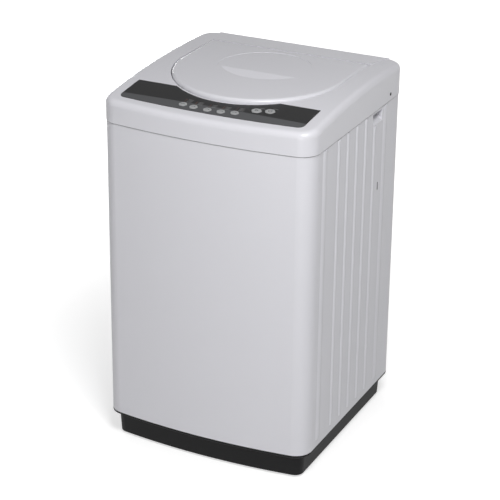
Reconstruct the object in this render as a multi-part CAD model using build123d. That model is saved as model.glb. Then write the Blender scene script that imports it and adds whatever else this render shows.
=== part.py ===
from build123d import *
import os
from math import atan2, cos, degrees, pi, radians, sin, sqrt

# Top load washing machine. X to the right, Y to the rear, Z up, millimetres.
# The origin is on the floor under the middle of the machine's plan.

# Fits, and how far a cut, an overlap or a blank reaches past a face
press_play = 0.02
slip_play = 0.05
hole_play = 0.3
end_play = 0.5
cut = 1.0
headroom = 20.0

# Cabinet: one wrapped steel sheet, open at the back, with a bowed front
cabinet_width = 552.0
cabinet_depth = 550.0
front_bow = 22.0
front_corner_radius = 44.0
rear_corner_radius = 46.0
least_corner_radius = 12.0
sheet = 1.0
cabinet_bottom = 72.0
cabinet_top = 848.0
rear_return = 60.0
rear_rail = 26.0
side_bead_height = 2.6
wide_bead = 24.0
narrow_bead = 15.0
wide_bead_y = (-193.6, 166.3)
narrow_bead_pitch = 53.8
narrow_bead_count = 5
first_narrow_bead_y = -114.8
bead_top_gap = 4.0
bead_bottom_gap = 20.0
side_slot_y = 134.0
side_slot_z = 642.0
side_slot_length = 22.0
side_slot_width = 7.0

# Hand grips let into both sides, just under the cover
grip_y = 117.0
grip_length = 58.0
grip_height = 29.0
grip_drop = 7.0
grip_depth = 26.0
grip_wall = 2.0
grip_flange = 3.0

# Base and feet
base_bottom = 6.0
base_wall = 3.0
base_lip_height = 5.0
base_slope_height = 13.0
base_inset = 18.0
base_draft = 3.0
base_opening_margin = 62.0
foot_radius = 22.0
foot_height = 12.0
foot_margin = 52.0
foot_boss_radius = 27.0
stem_radius = 5.0
stem_grip = 24.0
foot_chamfer = 2.0
level_travel = 10.0
thread_clearance = 0.08

# Top cover: its deck is an arc that rises from front to rear
cover_overhang = 1.5
cover_wall = 3.5
cover_skirt = 4.0
cover_edge_radius = 16.0
cover_height = 75.0
deck_front_drop = 21.5
deck_middle_rise = 5.0
rear_block_lift = 2.5
rear_block_flare = 20.0
cover_screw_y = 192.0
cover_screw_rise = 16.0
cover_screw_hole = 3.4

# Lid: half round at the front, straight at the sides, hinged at the rear
lid_radius = 217.0
lid_arc_y = 33.0
lid_bottom_drop = 11.5
lid_front_rise = 3.0
lid_rear_rise = 8.5
lid_profile_lead = 5.0
lid_crown = 2.0
lid_wall = 2.6
lid_rim_radius = 9.0
lid_gap = 1.5
lid_rest_gap = 2.0
hinge_y = 186.0
hinge_pin_radius = 3.0
hinge_pin_length = 15.0
hinge_pin_seat = 8.0
hinge_clearance = 0.06
hinge_boss_radius = 7.0
barrel_relief = 0.2
dish_radius = 118.0
dish_y = 52.0
dish_depth = 1.0
pocket_chord_y = 16.0
pocket_half_chord = 100.0
pocket_reach = 50.0
pocket_depth = 13.0
magnet_x = 200.0
magnet_y = 100.0
magnet_radius = 5.0
magnet_height = 4.0
magnet_boss_radius = 8.0
lid_switch_size = (24.0, 32.0, 12.0)
bumper_radius = 4.0
bumper_spread = 165.0
bumper_y = -88.0

# Loading mouth under the lid
mouth_radius = 176.0
mouth_wall = 3.0
mouth_drop = 12.0
mouth_clearance = 12.0

# Control panel and its buttons
panel_half_width = 239.0
panel_rear_y = -144.0
panel_front_y = -243.0
panel_front_bow = 11.0
panel_lid_gap = 6.0
panel_proud = 0.8
panel_seat = 1.7
panel_gap = 0.3
panel_front_radius = 16.0
panel_ledge = 6.0
button_gap = 0.35
button_proud = 2.2
button_stem = 7.0
button_flange = 2.0
button_flange_thickness = 1.4
button_travel = 1.5
button_edge = 1.0
small_button_size = (22.5, 17.5)
small_button_x = (-73.5, -43.5, -6.5, 27.5, 60.5)
small_row_x = -10.0
small_row_y = -236.3
small_row_radius = 336.0
large_button_size = (27.0, 21.0)
large_button_x = (103.0, 133.8)
large_button_y = (-201.0, -193.0)
board_thickness = 1.6
board_tray_depth = 14.0
board_tray_wall = 2.0
board_tray_gap = 0.4
board_play = 0.2
board_y = (-250.0, -196.0)
board_x = (-96.0, 90.0)
board_wing_x = (84.0, 152.0)
board_wing_rear_y = -177.0
switch_gap = 0.3
switch_radius = 3.0

# Tub, basket and pulsator turn about one upright axis
axis_y = 11.0
tub_radius = 236.0
tub_wall = 3.0
tub_bottom = 280.0
tub_floor = 5.0
tub_ring_width = 50.0
tub_ring_height = 16.0
tub_ring_lip = 3.0
tub_ring_overhang = 2.0
tub_ring_edge = 4.0
tub_ring_slope = 14.0
basket_margin = 24.0
basket_wall = 1.2
basket_bottom = 314.0
basket_rim_drop = 40.0
balance_width = 36.0
balance_height = 24.0
balance_depth = 16.0
balance_overlap = 2.0
balance_step = 5.0
balance_edge = 6.0
balance_slope = (8.0, 10.0)
basket_clearance = 0.2
hub_radius = 84.0
hub_thickness = 10.0
basket_hole = 30.0
basket_curve = 22.0
spin_tube_radius = 15.0
wash_shaft_radius = 8.0
shaft_clearance = 0.06
spin_tube_bottom = 178.0
wash_shaft_bottom = 184.0
neck_radius = 38.0
neck_top = 298.0
neck_play = 2.0
pulsator_margin = 60.0
pulsator_gap = 5.0
pulsator_rim = 9.0
pulsator_dome = 34.0
pulsator_boss = 22.0
pulsator_cap = 30.0
pulsator_cap_wall = 4.0
pulsator_round = (3.0, 2.0)
pulsator_vanes = 6
vane_width = 20.0
vane_height = 22.0
vane_root = 2.0
vane_tip = 4.0
vane_round = 8.0
cap_screw_radius = 24.0
cap_screw_height = 5.0
cap_screw_round = 3.0
filter_width = 70.0
filter_height = 170.0
filter_depth = 14.0
filter_round = 4.5
filter_bottom = 498.0

# Suspension: four hung rods with a spring and a cup at the foot of each
rod_margin = 42.0
rod_spread_y = 226.0
rod_radius = 4.0
rod_head_radius = 9.0
rod_bottom = 314.0
rod_washer_radius = 18.0
rod_washer_height = 6.0
spring_radius = 13.5
spring_wire = 3.2
spring_length = 70.0
spring_turns = 5
spring_gap = 0.2
cup_height = 16.0
cup_radius = 19.0
cup_clearance = 0.05
ear_height = 16.0
ear_width = 46.0
ear_web = 8.0
ear_web_height = 60.0
cup_neck_radius = 12.0
bracket_thickness = 3.0
bracket_drop = 30.0
bracket_reach = 92.0
tub_travel = 12.0

# Drive under the tub
plate_thickness = 4.0
plate_gap = 12.0
plate_margin = 31.0
plate_boss_spread = 140.0
plate_boss_radius = 12.0
plate_hole = 30.0
plate_valve_play = 3.0
gearcase_radius = 62.0
gearcase_bottom = 164.0
gearcase_flange = 86.0
gearcase_flange_thickness = 8.0
gearcase_slope = 18.0
spin_tube_gap = 2.0
seal_gap = 0.4
seal_base_inset = 8.0
seal_lip_inset = 14.0
input_shaft_radius = 7.0
input_shaft_gap = 4.0
pulley_z = 122.0
pulley_width = 16.0
drive_pulley_radius = 76.0
motor_pulley_radius = 22.0
pulley_hub_height = 6.0
drive_hub_radius = 20.0
motor_hub_radius = 12.0
pulley_hole_count = 5
pulley_hole_radius = 15.0
belt_width = 9.0
belt_thickness = 6.0
belt_clearance = 0.3
belt_seat = 2.0
groove_flare = 1.6
motor_inset = 47.0
motor_radius = 60.0
motor_height = 96.0
motor_shaft_radius = 6.0
motor_plate_gap = 8.0
motor_bell_step = 8.0
motor_bell_slope = 14.0
motor_shaft_drop = 20.0
motor_post_radius = 6.0
motor_post_inset = 7.0
motor_post_count = 4
capacitor_radius = 20.0
capacitor_length = 70.0
capacitor_x = -120.0
capacitor_y = 40.0

# Drain
drain_margin = 82.0
drain_angle = 34.0
drain_valve_radius = 26.0
drain_valve_height = 74.0
drain_bore = 15.0
drain_valve_floor = 4.0
spigot_length = 18.0
valve_stop = 2.0
hose_radius = 17.0
hose_wall = 2.5
hose_gap = 0.4
spigot_radius = 14.0
outlet_radius = 26.0
outlet_flange = 1.5
outlet_length = 24.0
pull_travel = 10.0
pull_rod_radius = 2.5
pull_rod_seat = 15.0
pull_rod_room = 2.0
actuator_rear = 30.0
actuator_length = 60.0
actuator_width = 44.0
actuator_height = 56.0

# Rear: removable panel, water inlets, cord gland
rear_panel_sheet = 1.0
rear_panel_margin = 48.0
louvre_count = 7
louvre_length = 90.0
louvre_height = 6.0
louvre_pitch = 16.0
louvre_z = 318.0
louvre_spread = 20.0
rear_panel_rise = 4.0
rear_panel_drop = 14.0
rear_screw_inset = 8.0
rear_screw_end = 20.0
rear_screw_rows = 4
screw_radius = 4.5
screw_height = 1.8
inlet_x = (-152.0, -98.0)
inlet_rise = 36.0
inlet_pocket_depth = 32.0
inlet_pocket_margin = 24.0
inlet_pocket_half_height = 21.0
nipple_radius = 13.2
nipple_bore = 9.0
nipple_length = 24.0
nipple_collar_radius = 17.0
nipple_collar_height = 2.0
valve_length = 34.0
valve_half = 17.0
gland_radius = 11.0
gland_margin = 26.0
gland_drop = 70.0
gland_bore = 4.5
gland_length = 9.0
gland_lip = 3.0

# Water inlet box and level sensor under the rear of the cover
inlet_box_half = 60.0
inlet_box_front = 204.0
inlet_box_rise = (16.0, 54.0)
link_radius = 8.0
spout_half = 30.0
spout_rise = (22.0, 40.0)
spout_wall = 2.0
spout_bore_reach = 30.0
spout_slot_reach = 12.0
spout_gap = 1.0
level_sensor_x = 120.0
level_sensor_radius = 22.0
level_sensor_length = 23.0
air_nipple_radius = 2.5
air_nipple_length = 38.0
air_nipple_root = 2.0
air_tube_radius = 4.5
air_tube_overlap = 20.0
air_tube_plug = 5.0
air_trap_wall = 2.0
air_trap_half = 14.0
air_trap_z = (308.0, 348.0)
air_tube_setback = 15.5

# Places worked out from the sizes above
overall_depth = cabinet_depth + front_bow + 2 * cover_overhang
cabinet_rear = overall_depth / 2 - cover_overhang
cabinet_corner_y = cabinet_rear - cabinet_depth
rear_face = cabinet_rear + rear_panel_sheet
half_width = cabinet_width / 2
bow_radius = (half_width**2 + front_bow**2) / (2 * front_bow)
bow_centre_y = cabinet_corner_y - front_bow + bow_radius
cover_front = -overall_depth / 2
cover_rear = overall_depth / 2
stem_length = stem_grip + level_travel
deck_rear_z = cabinet_top + cover_height
deck_front_z = deck_rear_z - deck_front_drop
deck_middle_z = deck_rear_z + deck_middle_rise
blank_top = deck_rear_z + headroom
cover_screw_z = cabinet_top + cover_screw_rise
lid_bottom = deck_rear_z - lid_bottom_drop
lid_front_z = deck_rear_z + lid_front_rise
lid_rear_z = deck_rear_z + lid_rear_rise
lid_front = lid_arc_y - lid_radius - lid_profile_lead
mouth_bottom = cabinet_top - mouth_drop
tub_top = mouth_bottom - mouth_clearance - tub_travel - tub_ring_height
basket_top = tub_top - basket_rim_drop
bracket_z = cabinet_top - bracket_drop
rear_panel_bottom = cabinet_bottom + rear_panel_rise
rear_panel_top = cabinet_top - rear_panel_drop
gland_z = cabinet_top - gland_drop
inlet_z = cabinet_top + inlet_rise
inlet_box_z = [cabinet_top + rise for rise in inlet_box_rise]
spout_z = [cabinet_top + rise for rise in spout_rise]
hinge_z = lid_bottom + (lid_rear_z - lid_bottom) / 2
hinge_barrel = (lid_rear_z - lid_bottom) / 2
well_floor = lid_bottom - lid_rest_gap
basket_radius = tub_radius - basket_margin
tub_ring_inner = tub_radius - tub_ring_width
balance_inner = basket_radius - balance_width
pulsator_radius = basket_radius - pulsator_margin
plate_radius = tub_radius - plate_margin
drain_x = (tub_radius - drain_margin) * cos(radians(drain_angle))
drain_y = (tub_radius - drain_margin) * sin(radians(drain_angle))
rod_x = half_width - rod_margin
gland_x = half_width - rear_return - gland_margin
air_tube_y = cover_rear - cover_wall - air_tube_setback
rod_y = (axis_y - rod_spread_y, axis_y + rod_spread_y)
spring_bottom = rod_bottom + rod_washer_height
spring_top = spring_bottom + spring_length
ear_bottom = spring_top + cup_height / 2
plate_top = tub_bottom - plate_gap
plate_bottom = plate_top - plate_thickness
motor_offset = plate_radius - motor_inset
motor_y = axis_y - motor_offset
motor_top = plate_bottom - motor_plate_gap
motor_bottom = motor_top - motor_height
drain_z = tub_bottom - drain_valve_height + spigot_radius + drain_valve_floor


# Shared shapes


def block(x0, x1, y0, y1, z0, z1):
    """A box between two corners."""
    return Pos((x0 + x1) / 2, (y0 + y1) / 2, (z0 + z1) / 2) * Box(x1 - x0, y1 - y0, z1 - z0)


def rod(radius, z0, z1, x=0.0, y=axis_y):
    """An upright round bar."""
    return Pos(x, y, (z0 + z1) / 2) * Cylinder(radius, z1 - z0)


def bar_x(radius, x0, x1, y, z):
    """A round bar along X."""
    return Pos((x0 + x1) / 2, y, z) * Rot(0, 90, 0) * Cylinder(radius, x1 - x0)


def bar_y(radius, y0, y1, x, z):
    """A round bar along Y."""
    return Pos(x, (y0 + y1) / 2, z) * Rot(90, 0, 0) * Cylinder(radius, y1 - y0)


def turned(points, y=axis_y, x=0.0):
    """A solid of revolution about an upright axis, from points of radius and height."""
    outline = make_face(Polyline([(r, 0, z) for r, z in points], close=True))
    return Pos(x, y, 0) * revolve(outline, Axis.Z)


def prism(face, z0, z1):
    """A plan face carried upright from one height to another."""
    return extrude(Pos(0, 0, z0) * face, amount=z1 - z0, dir=(0, 0, 1))


def plan(inset):
    """The cabinet's outline seen from above, drawn in by an inset all round."""
    half = half_width - inset
    rear = cabinet_rear - inset
    radius = bow_radius - inset
    corner_y = bow_centre_y - sqrt(radius**2 - half**2)
    sides = [
        Line((half, corner_y), (half, rear)),
        Line((half, rear), (-half, rear)),
        Line((-half, rear), (-half, corner_y)),
        ThreePointArc((-half, corner_y), (0, bow_centre_y - radius), (half, corner_y)),
    ]
    face = make_face(sides)
    front = face.vertices().sort_by(Axis.Y)[:2]
    face = fillet(front, max(front_corner_radius - inset, least_corner_radius))
    rear_ends = face.vertices().sort_by(Axis.Y)[-2:]
    return fillet(rear_ends, max(rear_corner_radius - inset, least_corner_radius))


def deck_arc():
    """Centre and radius, in Y and Z, of the arc that the deck follows."""
    y0, z0 = cover_front, deck_front_z
    y1, z1 = 0.0, deck_middle_z
    y2, z2 = cover_rear, deck_rear_z
    a = 2 * (y1 - y0), 2 * (z1 - z0), y1**2 + z1**2 - y0**2 - z0**2
    b = 2 * (y2 - y1), 2 * (z2 - z1), y2**2 + z2**2 - y1**2 - z1**2
    det = a[0] * b[1] - a[1] * b[0]
    centre_y = (a[2] * b[1] - a[1] * b[2]) / det
    centre_z = (a[0] * b[2] - a[2] * b[0]) / det
    return centre_y, centre_z, sqrt((y1 - centre_y) ** 2 + (z1 - centre_z) ** 2)


deck_centre_y, deck_centre_z, deck_radius = deck_arc()


def deck_z(y):
    """Height of the deck at a distance from front to rear."""
    return deck_centre_z + sqrt(deck_radius**2 - (y - deck_centre_y) ** 2)


def deck_plane(x, y, lift=0.0):
    """A plane that lies on the deck, its normal square to the surface."""
    normal = Vector(0, y - deck_centre_y, deck_z(y) - deck_centre_z).normalized()
    origin = Vector(x, y, deck_z(y)) + normal * lift
    return Plane(origin=origin, x_dir=(1, 0, 0), z_dir=normal)


def under_deck(lift, bottom):
    """Everything under the deck's arc, moved square to it, down to a level."""
    radius = deck_radius + lift
    y0, y1 = cover_front - headroom, cover_rear + headroom
    top = [deck_centre_z + sqrt(radius**2 - (y - deck_centre_y) ** 2) for y in (y0, 0, y1)]
    lines = [
        ThreePointArc((y0, top[0]), (0, top[1]), (y1, top[2])),
        Line((y1, top[2]), (y1, bottom)),
        Line((y1, bottom), (y0, bottom)),
        Line((y0, bottom), (y0, top[0])),
    ]
    side = Plane.YZ * make_face(lines)
    return extrude(side, amount=half_width + headroom, both=True)


def lid_plan(grow):
    """The lid's outline seen from above: a half circle and two straight sides to the hinge."""
    radius = lid_radius + grow
    rear = hinge_y + hinge_barrel + grow
    lines = [
        Line((radius, rear), (-radius, rear)),
        Line((-radius, rear), (-radius, lid_arc_y)),
        ThreePointArc((-radius, lid_arc_y), (0, lid_arc_y - radius), (radius, lid_arc_y)),
        Line((radius, lid_arc_y), (radius, rear)),
    ]
    return make_face(lines)


def panel_plan(grow):
    """The control panel's outline: a bowed strip that gives way to the lid's round front."""
    half = panel_half_width + grow
    front = panel_front_y - grow
    rear = panel_rear_y + grow
    lines = [
        Line((half, front), (half, rear)),
        Line((half, rear), (-half, rear)),
        Line((-half, rear), (-half, front)),
        ThreePointArc((-half, front), (0, front - panel_front_bow), (half, front)),
    ]
    face = make_face(lines)
    face = fillet(face.vertices().sort_by(Axis.Y)[:2], panel_front_radius + grow)
    return face - Pos(0, lid_arc_y) * Circle(lid_radius + panel_lid_gap - grow)


def button_face(size, grow):
    """A button seen from above: a flattened hexagon with rounded corners."""
    length, width = size
    half, rise = length / 2 + grow, width / 2 + grow
    shoulder = half - width / 3
    upper = [(half, 0), (shoulder, rise), (-shoulder, rise)]
    points = upper + [(-x, -y) for x, y in upper]
    face = make_face(Polyline(points, close=True))
    return fillet(face.vertices(), width / 4 + grow)


def small_row(x):
    """Place from front to rear of a small button, on the arc that their row follows."""
    return small_row_y + small_row_radius - sqrt(small_row_radius**2 - (x - small_row_x) ** 2)


small_names = ("program_button", "water_level_button", "temperature_button", "delay_button", "rinse_button")
large_names = ("start_button", "power_button")
buttons = {name: (x, small_row(x), small_button_size) for name, x in zip(small_names, small_button_x)}
for name, x, y in zip(large_names, large_button_x, large_button_y):
    buttons[name] = (x, y, large_button_size)


# Cabinet, base and feet


def bead(side, y, width, z0, z1):
    """A pressed bead on one side of the cabinet: an outer bulge and the hollow behind it."""
    radius = (width**2 / 4 + side_bead_height**2) / (2 * side_bead_height)
    centre_x = side * (half_width + side_bead_height - radius)
    face = sorted((side * (half_width - sheet), side * (half_width + 2 * side_bead_height)))
    reach = block(*face, y - width, y + width, z0, z1)
    outer = rod(radius, z0, z1, centre_x, y) & reach
    inner = rod(radius - sheet, z0 + sheet, z1 - sheet, centre_x, y) & reach
    return outer, inner


def grip_scoop(side, grow):
    """The wedge that a hand grip takes out of one side: shallow below and deep under its top edge."""
    top = cabinet_top - grip_drop + grow
    bottom = cabinet_top - grip_drop - grip_height - grow
    outside = half_width + 2 * side_bead_height
    deep = half_width - grip_depth - grow
    points = [(outside, bottom), (half_width - sheet, bottom), (deep, top), (outside, top)]
    face = make_face(Polyline([(side * x, 0, z) for x, z in points], close=True))
    return Pos(0, grip_y, 0) * extrude(face, amount=grip_length / 2 + grow, dir=(0, 1, 0), both=True)


def make_cabinet():
    """Front and sides in one sheet, with side beads, returns at the rear and a top rail."""
    body = prism(plan(0), cabinet_bottom, cabinet_top) - prism(plan(sheet), cabinet_bottom, cabinet_top)
    back = half_width - rear_return
    body -= block(-back, back, cabinet_rear - sheet - cut, cabinet_rear + cut,
                  cabinet_bottom, cabinet_top - rear_rail)
    narrow = [first_narrow_bead_y + narrow_bead_pitch * i for i in range(narrow_bead_count)]
    beads = [(y, wide_bead) for y in wide_bead_y] + [(y, narrow_bead) for y in narrow]
    z0, z1 = cabinet_bottom + bead_bottom_gap, cabinet_top - bead_top_gap
    grip_bottom = cabinet_top - grip_drop - grip_height
    for side in (-1, 1):
        hollows = []
        for y, width in beads:
            under_grip = abs(y - grip_y) < grip_length / 2 + width / 2
            top = grip_bottom - bead_top_gap if under_grip else z1
            outer, inner = bead(side, y, width, z0, top)
            body += outer
            hollows.append(inner)
        body -= hollows
        body -= grip_scoop(side, 0)
        slot = Box(2 * (sheet + cut), side_slot_width, side_slot_length)
        body -= Pos(side * half_width, side_slot_y, side_slot_z) * slot
    return body


def make_hand_grips():
    """Two moulded scoops behind the openings in the sides."""
    cups = []
    for side in (-1, 1):
        inside = prism(plan(sheet), cabinet_bottom, cabinet_top - thread_clearance)
        flange = grip_scoop(side, grip_flange) - prism(plan(sheet + grip_wall), cabinet_bottom, cabinet_top)
        cups.append((grip_scoop(side, grip_wall) + flange) & inside - grip_scoop(side, 0))
    return cups


def foot_places():
    """Feet stand near the four corners, the last one front right."""
    x = half_width - foot_margin
    front = cabinet_corner_y + foot_margin
    rear = cabinet_rear - foot_margin
    return [(-x, front), (-x, rear), (x, rear), (x, front)]


def make_base():
    """A moulded tray: a lip under the cabinet, a slope inwards and a drafted wall."""
    slope_top = cabinet_bottom - base_lip_height
    slope_bottom = slope_top - base_slope_height
    low = base_inset + base_draft

    def skin(wall, top):
        shoulder = Pos(0, 0, slope_top) * plan(wall)
        waist = Pos(0, 0, slope_bottom) * plan(base_inset + wall)
        hem = Pos(0, 0, base_bottom) * plan(low + wall)
        return prism(plan(wall), slope_top, top) + loft([shoulder, waist]) + loft([waist, hem])

    body = skin(0, cabinet_bottom) - skin(base_wall, cabinet_bottom - base_wall)
    body -= prism(plan(base_opening_margin), cabinet_bottom - 2 * base_wall, cabinet_bottom + cut)
    inside = skin(base_wall / 2, cabinet_bottom)
    for x, y in foot_places():
        body += rod(foot_boss_radius, base_bottom, cabinet_bottom, x, y) & inside
        body -= rod(foot_radius + thread_clearance, base_bottom - cut, foot_height, x, y)
    x, y = foot_places()[-1]
    return body - rod(stem_radius + thread_clearance, foot_height - cut, cabinet_bottom + cut, x, y)


def make_fixed_feet():
    """Three rubber feet seated in the base."""
    feet = []
    for x, y in foot_places()[:-1]:
        foot = rod(foot_radius, 0, foot_height, x, y)
        feet.append(chamfer(foot.edges().group_by(Axis.Z)[0], foot_chamfer))
    return feet


def make_adjustable_foot():
    """The levelling foot with its threaded stem."""
    x, y = foot_places()[-1]
    pad = rod(foot_radius, 0, foot_height, x, y)
    pad = chamfer(pad.edges().group_by(Axis.Z)[0], foot_chamfer)
    return pad + rod(stem_radius, foot_height - cut, foot_height + stem_length, x, y)


# Cover, lid and panel


def cover_blank(inset, lift=0.0):
    """The cover's outside drawn in by an inset, with its top edges rounded and its deck raised."""
    solid = prism(plan(inset - cover_overhang), cabinet_top - inset, blank_top)
    solid &= under_deck(lift - inset, cabinet_top - 2 * cover_wall)
    top = [e for e in solid.edges() if e.center().Z > deck_front_z - 2 * cover_edge_radius]
    rim = [e for e in top if abs(e.tangent_at(0.5).Z) < 0.5]
    return fillet(rim, cover_edge_radius - inset)


def rear_block():
    """The raised part of the deck behind the lid, in line with the lid's sides and wider at the rear."""
    front = hinge_y + hinge_barrel
    near, far = lid_radius, lid_radius + rear_block_flare
    corners = [(-near, front), (near, front), (far, cover_rear), (-far, cover_rear)]
    outline = make_face(Polyline(corners, close=True))
    raised = cover_blank(0, rear_block_lift) & prism(outline, deck_front_z, blank_top)
    return raised - under_deck(-cover_wall / 2, cabinet_top)


def make_top_cover():
    """The moulded top: deck, well for the lid, loading mouth, panel seat and rear inlet pocket."""
    outside = cover_blank(0)
    body = outside - cover_blank(cover_wall)
    basin = prism(lid_plan(lid_gap + cover_wall), well_floor - cover_wall, blank_top)
    body += basin & outside
    body += rear_block()
    skirt = sheet + hole_play
    locating = prism(plan(skirt), cabinet_top - cover_skirt, cabinet_top + cover_wall)
    ledge = prism(plan(0), cabinet_top, cabinet_top + cover_wall)
    hollow = prism(plan(skirt + cover_wall), cabinet_top - cover_skirt, cabinet_top + cover_wall)
    body += (locating + ledge) - hollow
    body += rod(mouth_radius + mouth_wall, mouth_bottom, well_floor)
    pin_end = lid_radius + lid_gap + hinge_pin_seat
    for side in (-1, 1):
        x = sorted((side * (lid_radius + lid_gap), side * (pin_end + cover_wall)))
        body += bar_x(hinge_boss_radius, *x, hinge_y, hinge_z)
    pocket_x = inlet_x[0] - inlet_pocket_margin, inlet_x[1] + inlet_pocket_margin
    pocket_z = inlet_z - inlet_pocket_half_height, inlet_z + inlet_pocket_half_height
    pocket_front = cover_rear - inlet_pocket_depth
    body += block(pocket_x[0] - cover_wall, pocket_x[1] + cover_wall, pocket_front - cover_wall,
                  cover_rear - cover_wall / 2, pocket_z[0] - cover_wall, pocket_z[1] + cover_wall)
    body -= block(*pocket_x, pocket_front, cover_rear + cut, *pocket_z)
    body -= prism(lid_plan(lid_gap), well_floor, blank_top)
    body -= rod(mouth_radius, mouth_bottom - cut, well_floor + cut)
    for side in (-1, 1):
        x = sorted((side * (lid_radius + lid_gap - cut), side * pin_end))
        body -= bar_x(hinge_pin_radius + hinge_clearance, *x, hinge_y, hinge_z)
        screw_x = sorted((side * (half_width - cover_wall - cut), side * (half_width + cover_overhang + cut)))
        body -= bar_x(cover_screw_hole, *screw_x, cover_screw_y, cover_screw_z)
    for x in inlet_x:
        body -= bar_y(nipple_collar_radius + hole_play, pocket_front - cover_wall - cut, pocket_front + cut,
                      x, inlet_z)
    rear_of_mouth = axis_y + mouth_radius
    body -= block(-spout_half - spout_gap, spout_half + spout_gap, rear_of_mouth - spout_slot_reach,
                  rear_of_mouth + spout_slot_reach, spout_z[0] - spout_gap, spout_z[1] + spout_gap)
    body -= prism(panel_plan(panel_gap), mouth_bottom, blank_top) - under_deck(-panel_seat, mouth_bottom)
    return body - prism(panel_plan(-panel_ledge), deck_front_z - cover_edge_radius, blank_top)


def make_lid_bumpers():
    """Two rubber dots that the closed lid rests on."""
    return [rod(bumper_radius, well_floor, lid_bottom, side * bumper_spread, bumper_y) for side in (-1, 1)]


def lid_profile(drop, bottom, rear):
    """The lid seen from the side: flat below and crowned above, as far as a rear plane."""
    middle = (lid_front + hinge_y) / 2
    crown_z = (lid_front_z + lid_rear_z) / 2 + lid_crown - drop
    front_z, rear_z = lid_front_z - drop, lid_rear_z - drop
    lines = [
        Line((lid_front, bottom), (hinge_y, bottom)),
        Line((hinge_y, bottom), (hinge_y, rear_z)),
        ThreePointArc((hinge_y, rear_z), (middle, crown_z), (lid_front, front_z)),
        Line((lid_front, front_z), (lid_front, bottom)),
    ]
    side = extrude(Plane.YZ * make_face(lines), amount=half_width, both=True)
    return side & block(-half_width, half_width, lid_front - cut, rear, bottom, blank_top)


def hinge_barrel_roll():
    """The round rear edge of the lid, turned about the hinge line, with rounded ends."""
    height = hinge_barrel - barrel_relief
    outline = Pos(0, height / 2) * Rectangle(2 * (lid_radius - barrel_relief), height)
    outline = fillet(outline.vertices().sort_by(Axis.Y)[-2:], lid_rim_radius)
    outline = Plane(origin=(0, hinge_y, hinge_z), x_dir=(1, 0, 0), z_dir=(0, -1, 0)) * outline
    return revolve(outline, Axis((0, hinge_y, hinge_z), (1, 0, 0)))


def lid_top(y):
    """Height of the lid's top on its middle line."""
    share = (y - lid_front) / (hinge_y - lid_front)
    return lid_front_z + (lid_rear_z - lid_front_z) * share + 4 * lid_crown * share * (1 - share)


def pocket_circle(grow):
    """The round front of the grip pocket, in plan, grown by a wall."""
    radius = (pocket_half_chord**2 + pocket_reach**2) / (2 * pocket_reach)
    return Pos(0, pocket_chord_y - pocket_reach + radius) * Circle(radius + grow)


def grip_pocket():
    """The crescent that the fingers go into: level at its straight rear edge and deepest at the front."""
    reach = pocket_reach + cut
    rear_z = lid_top(pocket_chord_y) - dish_depth
    front_z = rear_z - pocket_depth * reach / pocket_reach
    front_y = pocket_chord_y - reach
    slope = [(pocket_chord_y, rear_z), (front_y, front_z), (front_y, blank_top), (pocket_chord_y, blank_top)]
    wedge = extrude(Plane.YZ * make_face(Polyline(slope, close=True)), amount=half_width, both=True)
    return prism(pocket_circle(0), lid_bottom, blank_top) & wedge


def lid_cavity():
    """The hollow under the lid's shell, less the lumps round the pocket, the hinge ends and the magnet."""
    low = lid_bottom - cut
    cavity = prism(lid_plan(-lid_wall), low, blank_top) & lid_profile(lid_wall, low, hinge_y - hinge_barrel)
    lump = prism(pocket_circle(lid_wall), low, blank_top)
    cavity -= lump & block(-half_width, half_width, cover_front, pocket_chord_y + lid_wall, low, blank_top)
    for side in (-1, 1):
        x = sorted((side * lid_radius, side * (lid_radius - hinge_pin_length)))
        cavity -= bar_x(hinge_boss_radius, *x, hinge_y, hinge_z)
    return cavity - rod(magnet_boss_radius, lid_bottom, blank_top, magnet_x, magnet_y)


def make_lid():
    """The lid's shell, with the grip pocket that slopes down from a straight rear edge."""
    body = prism(lid_plan(0), lid_bottom, blank_top) & lid_profile(0, lid_bottom, hinge_y)
    crest = [e for e in body.edges() if e.center().Z > hinge_z]
    rim = [e for e in crest if e.bounding_box().size.Y > cut and e.center().Y < hinge_y - cut]
    body = fillet(rim, lid_rim_radius) + hinge_barrel_roll()
    body -= lid_cavity()
    dish = prism(Pos(0, dish_y) * Circle(dish_radius), hinge_z, blank_top)
    body -= dish - lid_profile(dish_depth, lid_bottom, hinge_y)
    body -= grip_pocket()
    for side in (-1, 1):
        x = sorted((side * (lid_radius + cut), side * (lid_radius - hinge_pin_length / 2)))
        body -= bar_x(hinge_pin_radius + press_play, *x, hinge_y, hinge_z)
    return body - rod(magnet_radius, lid_bottom - cut, lid_bottom + magnet_height, magnet_x, magnet_y)


def make_lid_hinge_pins():
    """Two steel pins pressed into the lid's ends, which turn in the cover."""
    outer = lid_radius + lid_gap + hinge_pin_seat - end_play
    inner = lid_radius - hinge_pin_length / 2
    return [bar_x(hinge_pin_radius, *sorted((s * inner, s * outer)), hinge_y, hinge_z) for s in (-1, 1)]


def make_lid_magnet():
    """The magnet that tells the lid switch that the lid is shut."""
    return rod(magnet_radius - slip_play, lid_bottom, lid_bottom + magnet_height, magnet_x, magnet_y)


def make_lid_switch():
    """The reed switch under the well, below the magnet."""
    centre_z = well_floor - cover_wall - lid_switch_size[2] / 2
    return Pos(magnet_x, magnet_y, centre_z) * Box(*lid_switch_size)


def make_control_panel():
    """The dark fascia that follows the deck, with its button holes."""
    body = prism(panel_plan(0), mouth_bottom, blank_top) & under_deck(panel_proud, mouth_bottom)
    body -= under_deck(-panel_seat, mouth_bottom)
    for x, y, size in buttons.values():
        hole = deck_plane(x, y, -button_stem) * button_face(size, button_gap)
        body -= extrude(hole, amount=2 * button_stem, dir=deck_plane(x, y).z_dir)
    return body


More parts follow.
